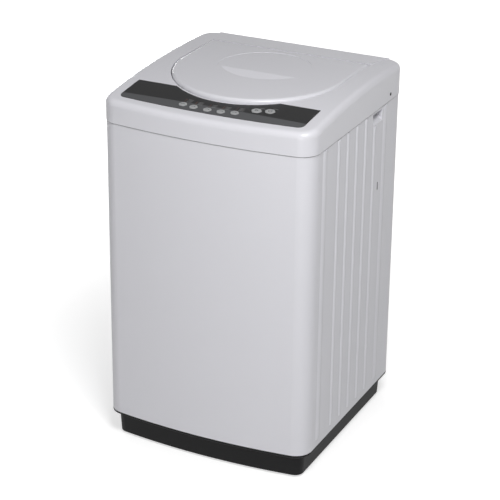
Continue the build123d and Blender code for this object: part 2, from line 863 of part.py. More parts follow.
def make_button(x, y, size):
    """A button cap with a retaining flange below the panel."""
    foot = deck_plane(x, y, -button_stem)
    cap = extrude(foot * button_face(size, 0), amount=button_stem + button_proud, dir=foot.z_dir)
    cap = fillet(cap.faces().sort_by(Axis.Z)[-1].edges(), button_edge)
    flange = foot * button_face(size, button_flange)
    return cap + extrude(flange, amount=button_flange_thickness, dir=foot.z_dir)


def board_outline(grow):
    """Corners of the control board's strip, and of its deeper wing under the two large buttons."""
    front = board_y[0] - grow
    strip = board_x[0] - grow, board_x[1] + grow, front, board_y[1] + grow
    wing = board_wing_x[0] - grow, board_wing_x[1] + grow, front, board_wing_rear_y + grow
    return strip, wing


def board_level(grow, low, high):
    """A slab of the board's outline between two depths under the deck."""
    middle = (board_y[0] + board_wing_rear_y) / 2
    plane = deck_plane(0, middle)
    slabs = []
    for x0, x1, y0, y1 in board_outline(grow):
        face = plane * Pos((x0 + x1) / 2, (y0 + y1) / 2 - middle, low) * Rectangle(x1 - x0, y1 - y0)
        slabs.append(extrude(face, amount=high - low, dir=plane.z_dir))
    return slabs[0] + slabs[1]


def make_board_tray():
    """The tray under the panel that carries the control board."""
    top = -cover_wall - board_tray_gap
    bottom = -button_stem - button_travel - board_tray_depth
    return board_level(board_tray_wall, bottom, top) - board_level(0, bottom + board_tray_wall, top + cut)


def make_control_board():
    """The circuit board with a switch under each button."""
    low = -button_stem - button_travel - board_tray_depth + board_tray_wall
    body = board_level(-board_play, low, low + board_thickness)
    for x, y, _ in buttons.values():
        plane = deck_plane(x, y, -button_stem - button_travel - switch_gap)
        body += extrude(plane * Circle(switch_radius), amount=-board_tray_depth + board_tray_wall)
    return body & board_level(-board_play / 2, low, 0)


# Tub, basket and pulsator


def rod_places():
    """The four suspension rods, one near each corner."""
    return [(x, y) for x in (-rod_x, rod_x) for y in rod_y]


def tub_ear(reach):
    """One ear, along X: an arm from the tub's wall to a round end, with a gusset on top."""
    root = tub_radius - tub_wall / 2
    top = ear_bottom + ear_height
    arm = block(root, reach, -ear_width / 2, ear_width / 2, ear_bottom, top)
    arm += rod(ear_width / 2, ear_bottom, top, reach, 0)
    end = reach - ear_width / 2
    side = [(root, ear_bottom), (end, ear_bottom), (end, top), (root, ear_bottom + ear_web_height)]
    gusset = make_face(Polyline([(x, 0, z) for x, z in side], close=True))
    return arm + extrude(gusset, amount=ear_web / 2, both=True)


def make_outer_tub():
    """The plastic tub, with four ears for the suspension, plate bosses, drain hole and air trap."""
    inside = tub_radius - tub_wall
    floor_top = tub_bottom + tub_floor
    hole = neck_radius + neck_play
    body = turned([(hole, tub_bottom), (tub_radius, tub_bottom), (tub_radius, tub_top), (inside, tub_top),
                   (inside, floor_top), (hole, floor_top)])
    for x, y in rod_places():
        turn = degrees(atan2(y - axis_y, x))
        body += Pos(0, axis_y, 0) * Rot(0, 0, turn) * tub_ear(sqrt(x**2 + (y - axis_y) ** 2))
        body -= rod(cup_neck_radius + hole_play, ear_bottom - cut, ear_bottom + ear_height + cut, x, y)
    for x, y in plate_boss_places():
        body += rod(plate_boss_radius, plate_top, tub_bottom + cut, x, y)
    trap_x = level_sensor_x - air_trap_half, level_sensor_x + air_trap_half
    trap_front = axis_y + sqrt(inside**2 - level_sensor_x**2)
    trap_rear = air_tube_y + air_tube_radius + air_trap_wall
    body += block(*trap_x, trap_front, trap_rear, *air_trap_z)
    body -= rod(inside, floor_top, tub_top)
    return body - rod(drain_bore, tub_bottom - cut, floor_top + cut, drain_x, axis_y + drain_y)


def plate_boss_places():
    """The bosses under the tub that the support plate is bolted to."""
    turns = [pi / 2 * i for i in range(4)]
    return [(plate_boss_spread * cos(turn), axis_y + plate_boss_spread * sin(turn)) for turn in turns]


def make_tub_ring():
    """The splash ring clipped over the tub's rim."""
    top = tub_top + tub_ring_height
    rim = tub_radius + tub_ring_overhang
    lip = tub_ring_inner + tub_ring_lip
    return turned([(tub_ring_inner, (tub_top + top) / 2), (lip, tub_top), (rim, tub_top),
                   (rim, tub_top + tub_ring_edge), (tub_ring_inner + tub_ring_slope, top), (lip, top)])


def make_basket():
    """The stainless basket: a dished floor and a straight wall."""
    inner = basket_radius - basket_wall
    floor = basket_bottom + basket_wall
    bend = basket_bottom + basket_curve
    quarter = basket_curve / 4
    return turned([(basket_hole, basket_bottom), (basket_radius - basket_curve, basket_bottom),
                   (basket_radius - quarter, basket_bottom + quarter), (basket_radius, bend),
                   (basket_radius, basket_top), (inner, basket_top), (inner, bend),
                   (inner - quarter, floor + quarter), (inner - basket_curve, floor), (basket_hole, floor)])


def make_balance_ring():
    """The fluid filled ring on the basket's rim that evens out the spin."""
    inner = basket_radius - basket_wall - basket_clearance
    outer = basket_radius + balance_overlap
    low, high = basket_top - balance_depth, basket_top + balance_height
    run, fall = balance_slope
    return turned([(balance_inner + balance_step, low), (inner, low), (inner, basket_top),
                   (outer, basket_top), (outer, high - balance_edge), (outer - balance_edge, high),
                   (balance_inner + run, high), (balance_inner, high - fall), (balance_inner, low + run)])


def make_basket_hub():
    """The hub under the basket with the hollow spin tube."""
    hub_bottom = basket_bottom - hub_thickness
    bore = wash_shaft_radius + shaft_clearance
    return turned([(bore, spin_tube_bottom), (spin_tube_radius, spin_tube_bottom),
                   (spin_tube_radius, hub_bottom), (hub_radius, hub_bottom + hub_thickness / 2),
                   (hub_radius, basket_bottom), (bore, basket_bottom)])


def make_lint_filters():
    """Two lint filters on the basket's wall."""
    outer = basket_radius - basket_wall - basket_clearance
    low, high = filter_bottom, filter_bottom + filter_height
    ring = rod(outer, low, high) - rod(outer - filter_depth, low, high)
    filters = []
    for side in (-1, 1):
        y = sorted((axis_y, axis_y + side * basket_radius))
        piece = ring & block(-filter_width / 2, filter_width / 2, *y, low, high)
        upright = piece.edges().filter_by(Axis.Z)
        inward = [e for e in upright if abs(e.center().Y - axis_y) < outer - filter_depth / 2]
        filters.append(fillet(inward, filter_round))
    return filters


def make_pulsator():
    """The wash plate: a shallow dome with raised vanes that sweep outwards."""
    low = basket_bottom + basket_wall + pulsator_gap
    dome = low + pulsator_dome
    rim = low + pulsator_rim
    shell = pulsator_rim / 2
    bore = wash_shaft_radius + press_play
    run, fall = pulsator_round
    edge = pulsator_radius - shell
    body = turned([(bore, low), (pulsator_boss, low), (pulsator_boss, dome - shell - pulsator_cap_wall),
                   (pulsator_radius / 2, rim), (edge, rim - shell), (edge, low), (pulsator_radius, low),
                   (pulsator_radius, rim - fall), (pulsator_radius - run, rim),
                   (pulsator_radius / 2, rim + shell), (pulsator_cap, dome - fall),
                   (pulsator_cap - run, dome), (bore, dome)])
    inner, outer = pulsator_cap - vane_root, pulsator_radius - vane_width / 2
    crest = rim + vane_height
    for i in range(pulsator_vanes):
        vane = block(inner, outer, -vane_width / 2, vane_width / 2, rim - vane_root, crest)
        slope = [(inner, 0, crest), (outer, 0, crest), (outer, 0, rim + vane_tip)]
        vane -= extrude(make_face(Polyline(slope, close=True)), amount=vane_width, both=True)
        upper = [e for e in vane.edges() if e.center().Z > rim + vane_tip + vane_root]
        vane = fillet([e for e in upper if abs(e.tangent_at(0.5).X) > 0.5], vane_round)
        body += Pos(0, axis_y, 0) * Rot(0, 0, 360 / pulsator_vanes * i) * vane
    return body


def make_wash_shaft():
    """The shaft inside the spin tube that turns the pulsator."""
    low = basket_bottom + basket_wall + pulsator_gap
    return rod(wash_shaft_radius, wash_shaft_bottom, low + pulsator_dome)


def make_pulsator_screw():
    """The cap screw that holds the pulsator on its shaft."""
    top = basket_bottom + basket_wall + pulsator_gap + pulsator_dome
    head = rod(cap_screw_radius, top, top + cap_screw_height)
    return fillet(head.edges().group_by(Axis.Z)[-1], cap_screw_round)


# Suspension


def make_corner_brackets():
    """Plates in the cabinet's top corners that the rods hang from."""
    inside = prism(plan(sheet), bracket_z, bracket_z + bracket_thickness)
    brackets = []
    for x, y in rod_places():
        side = 1 if x > 0 else -1
        face = 1 if y > axis_y else -1
        near = half_width - bracket_reach
        edge = cabinet_rear if face > 0 else cabinet_corner_y - front_bow
        spans = sorted((side * near, side * half_width)), sorted((edge - face * bracket_reach, edge))
        plate = inside & block(*spans[0], *spans[1], bracket_z, bracket_z + bracket_thickness)
        hole = rod(rod_radius + hole_play, bracket_z - cut, bracket_z + bracket_thickness + cut, x, y)
        brackets.append(plate - hole)
    return brackets


def make_suspension_rods():
    """Steel rods with a round head above the bracket and a washer below the spring."""
    rods = []
    top = bracket_z + bracket_thickness
    for x, y in rod_places():
        head = Pos(x, y, top) * Sphere(rod_head_radius)
        head &= rod(rod_head_radius, top, top + rod_head_radius, x, y)
        washer = rod(rod_washer_radius, rod_bottom, rod_bottom + rod_washer_height, x, y)
        rods.append(rod(rod_radius, rod_bottom, top + cut, x, y) + head + washer)
    return rods


def make_suspension_springs():
    """Four coil springs that carry the tub's weight on the rods."""
    rise = spring_length - spring_wire - 2 * spring_gap
    springs = []
    for x, y in rod_places():
        coil = Helix(pitch=rise / spring_turns, height=rise, radius=spring_radius)
        wire = Plane(origin=coil @ 0, z_dir=coil % 0) * Circle(spring_wire / 2)
        springs.append(Pos(x, y, spring_bottom + spring_wire / 2 + spring_gap) * sweep(wire, path=coil))
    return springs


def make_suspension_cups():
    """Plastic cups between the springs and the tub's ears, which slide on the rods."""
    cups = []
    for x, y in rod_places():
        top = spring_top + cup_height
        cup = rod(cup_radius, spring_top, ear_bottom, x, y)
        cup += rod(cup_neck_radius, ear_bottom - cut, top, x, y)
        cups.append(cup - rod(rod_radius + cup_clearance, spring_top - cut, top + cut, x, y))
    return cups


# Drive


def make_support_plate():
    """The steel plate under the tub that carries the gearcase and the motor."""
    level = plate_bottom, plate_top
    body = rod(plate_radius, *level) - rod(gearcase_radius + hole_play, *level)
    body -= rod(drain_valve_radius + plate_valve_play, *level, drain_x, axis_y + drain_y)
    return body - [rod(plate_hole, *level, side * drain_x, axis_y - drain_y) for side in (-1, 1)]


def make_gearcase():
    """The clutch and bearing housing: flange under the plate, neck up through the tub's floor."""
    spin_bore = spin_tube_radius + shaft_clearance
    input_bore = input_shaft_radius + shaft_clearance
    flange_low = plate_bottom - gearcase_flange_thickness
    seat = spin_tube_bottom - spin_tube_gap
    return turned([(input_bore, gearcase_bottom), (gearcase_radius - gearcase_slope, gearcase_bottom),
                   (gearcase_radius, gearcase_bottom + gearcase_slope), (gearcase_radius, flange_low),
                   (gearcase_flange, flange_low), (gearcase_flange, plate_bottom),
                   (gearcase_radius, plate_bottom), (gearcase_radius, plate_top), (neck_radius, plate_top),
                   (neck_radius, neck_top), (spin_bore, neck_top), (spin_bore, seat), (input_bore, seat)])


def make_shaft_seal():
    """The lip seal between the gearcase neck and the basket hub."""
    top = basket_bottom - hub_thickness - seal_gap
    bore = spin_tube_radius + shaft_clearance
    return turned([(bore, neck_top), (neck_radius - seal_base_inset, neck_top),
                   (neck_radius - seal_lip_inset, top), (bore, top)])


def grooved_pulley(radius, bore, hub, x, y):
    """A pulley with a groove for the belt."""
    low, high = pulley_z - pulley_width / 2, pulley_z + pulley_width / 2
    depth = belt_thickness + belt_seat
    mouth = belt_width / 2 + groove_flare
    floor = belt_width / 2 + belt_clearance
    outline = [(bore, low), (radius, low), (radius, pulley_z - mouth), (radius - depth, pulley_z - floor),
               (radius - depth, pulley_z + floor), (radius, pulley_z + mouth), (radius, high), (hub, high),
               (hub, high + pulley_hub_height), (bore, high + pulley_hub_height)]
    return turned(outline, y, x)


def make_drive_pulley():
    """The large pulley on the gearcase, with lightening holes."""
    body = grooved_pulley(drive_pulley_radius, input_shaft_radius + press_play, drive_hub_radius, 0, axis_y)
    spread = (drive_hub_radius + drive_pulley_radius - belt_thickness - belt_seat) / 2
    low, high = pulley_z - pulley_width, pulley_z + pulley_width
    for i in range(pulley_hole_count):
        turn = 2 * pi * i / pulley_hole_count
        body -= rod(pulley_hole_radius, low, high, spread * cos(turn), axis_y + spread * sin(turn))
    return body


def make_input_shaft():
    """The shaft from the large pulley up into the gearcase."""
    return rod(input_shaft_radius, pulley_z - pulley_width / 2, spin_tube_bottom - input_shaft_gap)


def make_motor_pulley():
    """The small pulley on the motor."""
    return grooved_pulley(motor_pulley_radius, motor_shaft_radius + press_play, motor_hub_radius, 0, motor_y)


def make_motor_shaft():
    """The motor's rotor shaft."""
    return rod(motor_shaft_radius, pulley_z - pulley_width / 2, motor_top - motor_shaft_drop, 0, motor_y)


def belt_loop(large, small):
    """The plan of a loop round both pulleys: two arcs joined by tangent lines."""
    lean = (large - small) / motor_offset
    level = sqrt(1 - lean**2)
    right = (large * level, axis_y - large * lean), (small * level, motor_y - small * lean)
    left = (-right[0][0], right[0][1]), (-right[1][0], right[1][1])
    lines = [
        ThreePointArc(right[0], (0, axis_y + large), left[0]),
        Line(left[0], left[1]),
        ThreePointArc(left[1], (0, motor_y - small), right[1]),
        Line(right[1], right[0]),
    ]
    return make_face(lines)


def make_drive_belt():
    """The belt in both grooves."""
    sink = belt_seat - belt_clearance
    large, small = drive_pulley_radius - sink, motor_pulley_radius - sink
    loop = belt_loop(large, small) - belt_loop(large - belt_thickness, small - belt_thickness)
    return prism(loop, pulley_z - belt_width / 2, pulley_z + belt_width / 2)


def make_motor():
    """The motor: a can with end bells, hung from the plate by four posts."""
    bore = motor_shaft_radius + shaft_clearance
    bell = motor_radius - motor_bell_step
    cap = bell - motor_bell_slope
    low, high = motor_bottom + motor_bell_slope, motor_top - motor_bell_slope
    body = turned([(bore, motor_bottom), (cap, motor_bottom), (bell, low), (motor_radius, low),
                   (motor_radius, high), (bell, high), (cap, motor_top), (bore, motor_top)], motor_y)
    spread = motor_radius - motor_post_inset
    for i in range(motor_post_count):
        turn = 2 * pi * (i + 0.5) / motor_post_count
        x, y = spread * cos(turn), motor_y + spread * sin(turn)
        body += rod(motor_post_radius, high - cut, plate_bottom, x, y)
    return body


def make_capacitor():
    """The motor's run capacitor under the plate."""
    y = axis_y + capacitor_y
    return bar_y(capacitor_radius, y - capacitor_length / 2, y + capacitor_length / 2, capacitor_x,
                 plate_bottom - capacitor_radius)


# Drain


def make_drain_valve():
    """The valve under the tub's drain hole, with its outlet to the rear."""
    y = axis_y + drain_y
    body = rod(drain_valve_radius, tub_bottom - drain_valve_height, tub_bottom, drain_x, y)
    body += bar_y(spigot_radius, y, y + drain_valve_radius + spigot_length, drain_x, drain_z)
    body -= rod(drain_bore, drain_z - drain_bore / 2, tub_bottom + cut, drain_x, y)
    return body - bar_y(pull_rod_radius + shaft_clearance, y - drain_valve_radius - cut,
                        y - drain_bore - valve_stop, drain_x, drain_z)


def make_drain_hose():
    """The hose from the valve to the outlet in the rear panel."""
    valve_rear = axis_y + drain_y + drain_valve_radius
    spigot_end = valve_rear + spigot_length
    rear = rear_face - outlet_length - hose_gap
    hose = bar_y(hose_radius, valve_rear + cut, rear, drain_x, drain_z)
    hose -= bar_y(hose_radius - hose_wall, spigot_end, rear + cut, drain_x, drain_z)
    return hose - bar_y(spigot_radius + slip_play, valve_rear, spigot_end + end_play, drain_x, drain_z)


def make_drain_outlet():
    """The outlet socket in the rear panel."""
    inner, outer = rear_face - outlet_length, rear_face + outlet_flange
    body = bar_y(hose_radius, inner, outer, drain_x, drain_z)
    body += bar_y(outlet_radius, rear_face, outer, drain_x, drain_z)
    return body - bar_y(spigot_radius, inner - cut, outer + cut, drain_x, drain_z)


def make_pull_rod():
    """The rod that the actuator pulls to open the drain valve."""
    tip = axis_y + drain_y - drain_bore - valve_stop - end_play
    return bar_y(pull_rod_radius, actuator_rear - pull_rod_seat, tip, drain_x, drain_z)


def make_drain_actuator():
    """The small geared motor that pulls the drain rod."""
    centre = Pos(drain_x, actuator_rear - actuator_length / 2, plate_bottom - actuator_height / 2)
    body = centre * Box(actuator_width, actuator_length, actuator_height)
    bore_end = actuator_rear - pull_rod_seat - pull_travel - pull_rod_room
    return body - bar_y(pull_rod_radius + shaft_clearance, bore_end, actuator_rear + cut, drain_x, drain_z)


# Rear


def rear_screw_places():
    """Screws along both edges of the rear panel."""
    x = half_width - rear_panel_margin - rear_screw_inset
    low, high = rear_panel_bottom + rear_screw_end, rear_panel_top - rear_screw_end
    levels = [low + (high - low) * i / (rear_screw_rows - 1) for i in range(rear_screw_rows)]
    return [(side * x, z) for side in (-1, 1) for z in levels]


def make_rear_panel():
    """The removable back: a sheet with louvre slots and holes for what passes it."""
    half = half_width - rear_panel_margin
    through = cabinet_rear - cut, rear_face + cut
    body = block(-half, half, cabinet_rear, rear_face, rear_panel_bottom, rear_panel_top)
    for i in range(louvre_count):
        z = louvre_z + louvre_pitch * i
        for side in (-1, 1):
            x = sorted((side * louvre_spread, side * (louvre_spread + louvre_length)))
            body -= block(*x, *through, z, z + louvre_height)
    body -= bar_y(hose_radius + hole_play, *through, drain_x, drain_z)
    return body - bar_y(gland_radius - gland_lip + hole_play, *through, gland_x, gland_z)


def make_rear_screws():
    """Screw heads on the rear panel."""
    return [bar_y(screw_radius, rear_face, rear_face + screw_height, x, z) for x, z in rear_screw_places()]


def make_cord_gland():
    """The rubber bush where the mains lead enters."""
    inner, outer = rear_face - gland_length, rear_face + outlet_flange
    body = bar_y(gland_radius, rear_face, outer, gland_x, gland_z)
    body += bar_y(gland_radius - gland_lip, inner, rear_face, gland_x, gland_z)
    return body - bar_y(gland_bore, inner - cut, outer + cut, gland_x, gland_z)


def make_inlet_valve(x):
    """A water inlet valve with its hose nipple in the rear pocket."""
    floor = cover_rear - inlet_pocket_depth
    rear = floor - cover_wall
    body = Pos(x, rear - valve_length / 2, inlet_z) * Box(2 * valve_half, valve_length, 2 * valve_half)
    body += bar_y(nipple_collar_radius, rear - cut, floor + nipple_collar_height, x, inlet_z)
    body += bar_y(nipple_radius, floor, floor + nipple_length, x, inlet_z)
    return body - bar_y(nipple_bore, floor, floor + nipple_length + cut, x, inlet_z)


def make_inlet_box():
    """The water box behind the mouth, with its spout over the basket and its link to the valves."""
    mouth_rear = axis_y + mouth_radius
    body = block(-inlet_box_half, inlet_box_half, inlet_box_front, cover_rear - cover_wall, *inlet_box_z)
    body += block(-spout_half, spout_half, mouth_rear + cut, inlet_box_front + cut, *spout_z)
    valve_y = cover_rear - inlet_pocket_depth - cover_wall - valve_length / 2
    body += bar_x(link_radius, inlet_x[1] + valve_half, cut - inlet_box_half, valve_y, inlet_z)
    half = spout_half - spout_wall
    return body - block(-half, half, mouth_rear, inlet_box_front + spout_bore_reach,
                        spout_z[0] + spout_wall, spout_z[1] - spout_wall)


def make_level_sensor():
    """The pressure sensor with the nipple for its air tube."""
    rear = cover_rear - cover_wall
    body = bar_y(level_sensor_radius, rear - level_sensor_length, rear, level_sensor_x, inlet_z)
    low = inlet_z - level_sensor_radius
    tip = low - air_nipple_length
    return body + rod(air_nipple_radius, tip, low + air_nipple_root, level_sensor_x, air_tube_y)


def make_air_tube():
    """The tube that carries the trapped air's pressure up to the sensor."""
    tip = inlet_z - level_sensor_radius - air_nipple_length
    top = tip + air_tube_overlap
    tube = rod(air_tube_radius, air_trap_z[1], top, level_sensor_x, air_tube_y)
    return tube - rod(air_nipple_radius + shaft_clearance, air_trap_z[1] + air_tube_plug, top + cut,
                      level_sensor_x, air_tube_y)


pieces = {
    "cabinet": make_cabinet(),
    "hand_grips": make_hand_grips(),
    "base": make_base(),
    "fixed_feet": make_fixed_feet(),
    "adjustable_foot": make_adjustable_foot(),
    "top_cover": make_top_cover(),
    "lid": make_lid(),
    "lid_hinge_pins": make_lid_hinge_pins(),
    "lid_magnet": make_lid_magnet(),
    "lid_switch": make_lid_switch(),
    "lid_bumpers": make_lid_bumpers(),
    "control_panel": make_control_panel(),
    "board_tray": make_board_tray(),
    "control_board": make_control_board(),
    "outer_tub": make_outer_tub(),
    "tub_ring": make_tub_ring(),
    "basket": make_basket(),
    "balance_ring": make_balance_ring(),
    "basket_hub": make_basket_hub(),
    "lint_filters": make_lint_filters(),
    "pulsator": make_pulsator(),
    "wash_shaft": make_wash_shaft(),
    "pulsator_screw": make_pulsator_screw(),
    "corner_brackets": make_corner_brackets(),
    "suspension_rods": make_suspension_rods(),
    "suspension_springs": make_suspension_springs(),
    "suspension_cups": make_suspension_cups(),
    "support_plate": make_support_plate(),
    "gearcase": make_gearcase(),
    "shaft_seal": make_shaft_seal(),
    "drive_pulley": make_drive_pulley(),
    "input_shaft": make_input_shaft(),
    "motor_pulley": make_motor_pulley(),
    "motor_shaft": make_motor_shaft(),
    "drive_belt": make_drive_belt(),
    "motor": make_motor(),
    "capacitor": make_capacitor(),
    "drain_valve": make_drain_valve(),
    "drain_hose": make_drain_hose(),
    "drain_outlet": make_drain_outlet(),
    "drain_pull_rod": make_pull_rod(),
    "drain_actuator": make_drain_actuator(),
    "rear_panel": make_rear_panel(),
    "rear_screws": make_rear_screws(),
    "cord_gland": make_cord_gland(),
    "hot_inlet_valve": make_inlet_valve(inlet_x[0]),
    "cold_inlet_valve": make_inlet_valve(inlet_x[1]),
    "inlet_box": make_inlet_box(),
    "level_sensor": make_level_sensor(),
    "air_tube": make_air_tube(),
}
for name, (x, y, size) in buttons.items():
    pieces[name] = make_button(x, y, size)

os.makedirs("parts", exist_ok=True)
for name, shape in pieces.items():
    solids = shape if isinstance(shape, list) else [shape]
    export_step(Compound(children=[s for piece in solids for s in piece.solids()]), f"parts/{name}.step")
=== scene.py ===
"""The looks of a compact top load washing machine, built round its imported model."""

from math import cos, pi, radians, sin, sqrt

import bpy
import numpy as np
from mathutils import Matrix, Vector


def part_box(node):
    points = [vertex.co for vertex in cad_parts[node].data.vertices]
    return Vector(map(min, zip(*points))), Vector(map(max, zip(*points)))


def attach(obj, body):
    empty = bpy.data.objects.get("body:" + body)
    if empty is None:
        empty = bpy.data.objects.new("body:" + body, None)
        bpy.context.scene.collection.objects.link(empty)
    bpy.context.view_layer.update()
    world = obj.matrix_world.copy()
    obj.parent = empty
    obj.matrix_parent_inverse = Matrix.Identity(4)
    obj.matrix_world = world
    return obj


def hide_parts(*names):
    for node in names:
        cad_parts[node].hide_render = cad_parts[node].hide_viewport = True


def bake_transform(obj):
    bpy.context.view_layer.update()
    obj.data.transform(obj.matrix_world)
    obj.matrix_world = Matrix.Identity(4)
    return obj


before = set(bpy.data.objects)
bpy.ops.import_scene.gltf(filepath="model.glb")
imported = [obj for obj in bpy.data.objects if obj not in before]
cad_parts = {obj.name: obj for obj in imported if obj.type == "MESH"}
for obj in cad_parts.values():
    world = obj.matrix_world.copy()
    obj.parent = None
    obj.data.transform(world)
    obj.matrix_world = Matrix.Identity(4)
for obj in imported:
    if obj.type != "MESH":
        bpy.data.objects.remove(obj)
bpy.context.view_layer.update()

bl_info = {
    "name": "Top load washing machine",
    "version": (1, 0, 0),
    "blender": (4, 5, 0),
    "location": "3D View > Sidebar > Washer",
    "description": "Finishes and trim for a top load washing machine",
    "category": "Object",
}

PIXELS = 500
SENSOR_MM = 36.0

# Sizes and places of the solids that their boxes don't give, in metres
SHEET_X = 0.276  # outer face of the cabinet's side
FRONT_BOW = 0.022  # how far the front bows out in plan
FRONT_CORNER = 0.044  # plan radius of the front corners
REAR_CORNER = 0.046  # plan radius of the rear corners
SLOT_PLACE = (0.134, 0.642)  # Y and Z of the slot in the side
SLOT_SHADE = (0.010, 0.0165)  # half width and half height that cover the slot
SLOT_DEPTH = 0.0018  # how far the dark sheet of painted shade lies behind the side's face
SCREW_PLACE = (0.192, 0.864)  # Y and Z of the screw hole in the cover's side
PANEL_HALF = 0.239  # half width of the control panel
BAND_LINE = -0.2215  # Y at which the fascia's band ends, at the panel's ends
BAND_BOW = 0.0040  # how far that line bows back in the middle
BUTTON_RISE = 0.00142  # height of a cap's top over the panel
BASKET_WALL = 0.0012
HOLES_FOOT = 0.045  # from the basket's foot to its lowest row of holes
HOLES_HEAD = 0.040  # from its highest row to its rim
REAR_SCREW_RADIUS = 0.0045
REAR_SCREW_ROWS = 4
NIPPLE_RADIUS = 0.0132
INLET_POCKET = 0.032  # depth of the pocket that the nipples stand in
THREAD_FOOT = 0.004  # from the pocket's floor to the start of the thread
THREAD_HEAD = 0.0012  # from the end of the thread to the nipple's end

LARGE_BUTTONS = ("start_button", "power_button")

# Marks behind a button, from the button's middle, in metres
MARK_ROWS = 3
MARK_START = 0.0150  # back to the first row
MARK_STEP = 0.0056  # from row to row
DASH_SHIFT = 0.0075  # sideways to the middle of a dash
LAMP_SHIFT = -0.0035  # sideways to a lamp

PRINT_LIFT = 0.00002  # keeps printing clear of the face it lies on
THREAD_LIFT = 0.00005  # keeps the thread clear of the nipple
WALL_LIFT = 0.0001  # lifts the basket's eyelets off its wall, and sinks the dark discs on the screw holes in the cover
CLOSED = 0.01  # share of a ring's radius at which it counts as closed on its middle

# Each lamp's place, the point that it is aimed at and the side of its square, in metres
LAMPS = {
    "key": ((1.22, -1.65, 3.05), (0, 0, 0.6), 0.9),
    "fill": ((0.9, -3.5, 0.4), (0, 0, 0.2), 1.4),
    "rear": ((-2.5, 2.5, 0.45), (0, 0, 0.4), 1.3),
}
HORIZON = 0.17  # height of a view direction at which the white of the room gives way to its light
HORIZON_SOFT = 0.14  # width over which it does
FLOOR_REACH = 30.0  # half the side of the floor's square
FLOOR_NEAR = 0.60  # own glow of the floor round the machine
FLOOR_FAR = 0.95  # own glow of the floor far out
FLOOR_RING = 1.1  # radius at which the one gives way to the other
FLOOR_SOFT = 1.4  # width over which it does


# Settings that a user would change


def length(name, words, default):
    """A size in metres."""
    return bpy.props.FloatProperty(
        name=name, description=words, default=default, subtype="DISTANCE", precision=5)


def count(name, words, default):
    """A whole number."""
    return bpy.props.IntProperty(name=name, description=words, default=default, min=1)


def colour(name, words, default):
    """A linear colour."""
    return bpy.props.FloatVectorProperty(
        name=name, description=words, default=default, subtype="COLOR", size=3)


def angle(name, words, degrees):
    """A turn, kept in radians."""
    return bpy.props.FloatProperty(
        name=name, description=words, default=radians(degrees), subtype="ANGLE")


def power(name, words, default):
    """A lamp's power in watts."""
    return bpy.props.FloatProperty(
        name=name, description=words, default=default, min=0, subtype="POWER")


class WasherFinish(bpy.types.PropertyGroup):
    """Colours of the machine's surfaces."""

    paint: colour("Cabinet paint", "Satin paint on the steel cabinet", (0.685, 0.682, 0.72))
    cover: colour("Cover plastic", "Moulded top and lid", (0.675, 0.672, 0.71))
    fascia: colour("Fascia", "Dark part of the control panel", (0.026, 0.026, 0.0267))
    band: colour("Fascia band", "Lighter band along the panel's front", (0.088, 0.090, 0.094))
    button: colour("Buttons", "Silver button caps", (0.36, 0.365, 0.37))
    ink: colour("Panel ink", "Dashes printed on the panel", (0.23, 0.23, 0.235))
    lamp: colour("Lamps", "Lenses of the panel's lamps, unlit", (0.20, 0.10, 0.08))
    sign: colour("Signs", "Signs printed on the caps", (0.04, 0.041, 0.043))
    base: colour("Base", "Black moulded base", (0.005, 0.005, 0.0055))
    # painted shade: this colour stands in for the shade in the gap between cabinet and cover
    seam: colour("Seam", "Strip between cabinet and cover", (0.24, 0.24, 0.25))
    # painted shade behind the side slots; the same dark colour covers the screw holes in the
    # cover's sides
    slot_shade_and_hole_dark: colour("Felt", "Felt behind the slots, and screw plugs", (0.010, 0.010, 0.011))
    bumper: colour("Bumpers", "Rubber bumpers under the lid", (0.09, 0.09, 0.09))
    foot: colour("Feet", "Rubber of the feet", (0.03, 0.03, 0.03))
    # also used for the painted shade in the rear screws' cross recesses
    rubber: colour("Rubber", "Belt, hose, seal and bush", (0.02, 0.02, 0.02))
    tray: colour("Tray", "Plastic of the board's tray", (0.05, 0.05, 0.055))
    board: colour("Board", "Solder mask of the control board", (0.02, 0.14, 0.06))
    basket: colour("Basket", "Brushed steel of the basket", (0.74, 0.75, 0.76))
    # painted shade: the dark seen through the basket's holes
    hole: colour("Basket holes", "Dark of the basket's holes", (0.012, 0.012, 0.013))
    tub: colour("Tub", "Moulded outer tub", (0.55, 0.56, 0.57))
    ring: colour("Balance ring", "Balance ring and lint filters", (0.62, 0.63, 0.65))
    pulsator: colour("Pulsator", "Moulded pulsator", (0.58, 0.61, 0.66))
    steel: colour("Bright steel", "Shafts, rods, springs and screws", (0.60, 0.60, 0.61))
    zinc: colour("Zinc", "Plated brackets, plate and motor", (0.46, 0.47, 0.48))
    cast: colour("Cast metal", "Gearcase, hub and pulleys", (0.55, 0.56, 0.57))
    dark: colour("Dark plastic", "Sensor, actuator and capacitor", (0.04, 0.04, 0.045))
    valve: colour("Valves", "Ivory plastic of the inlet valves", (0.68, 0.68, 0.64))


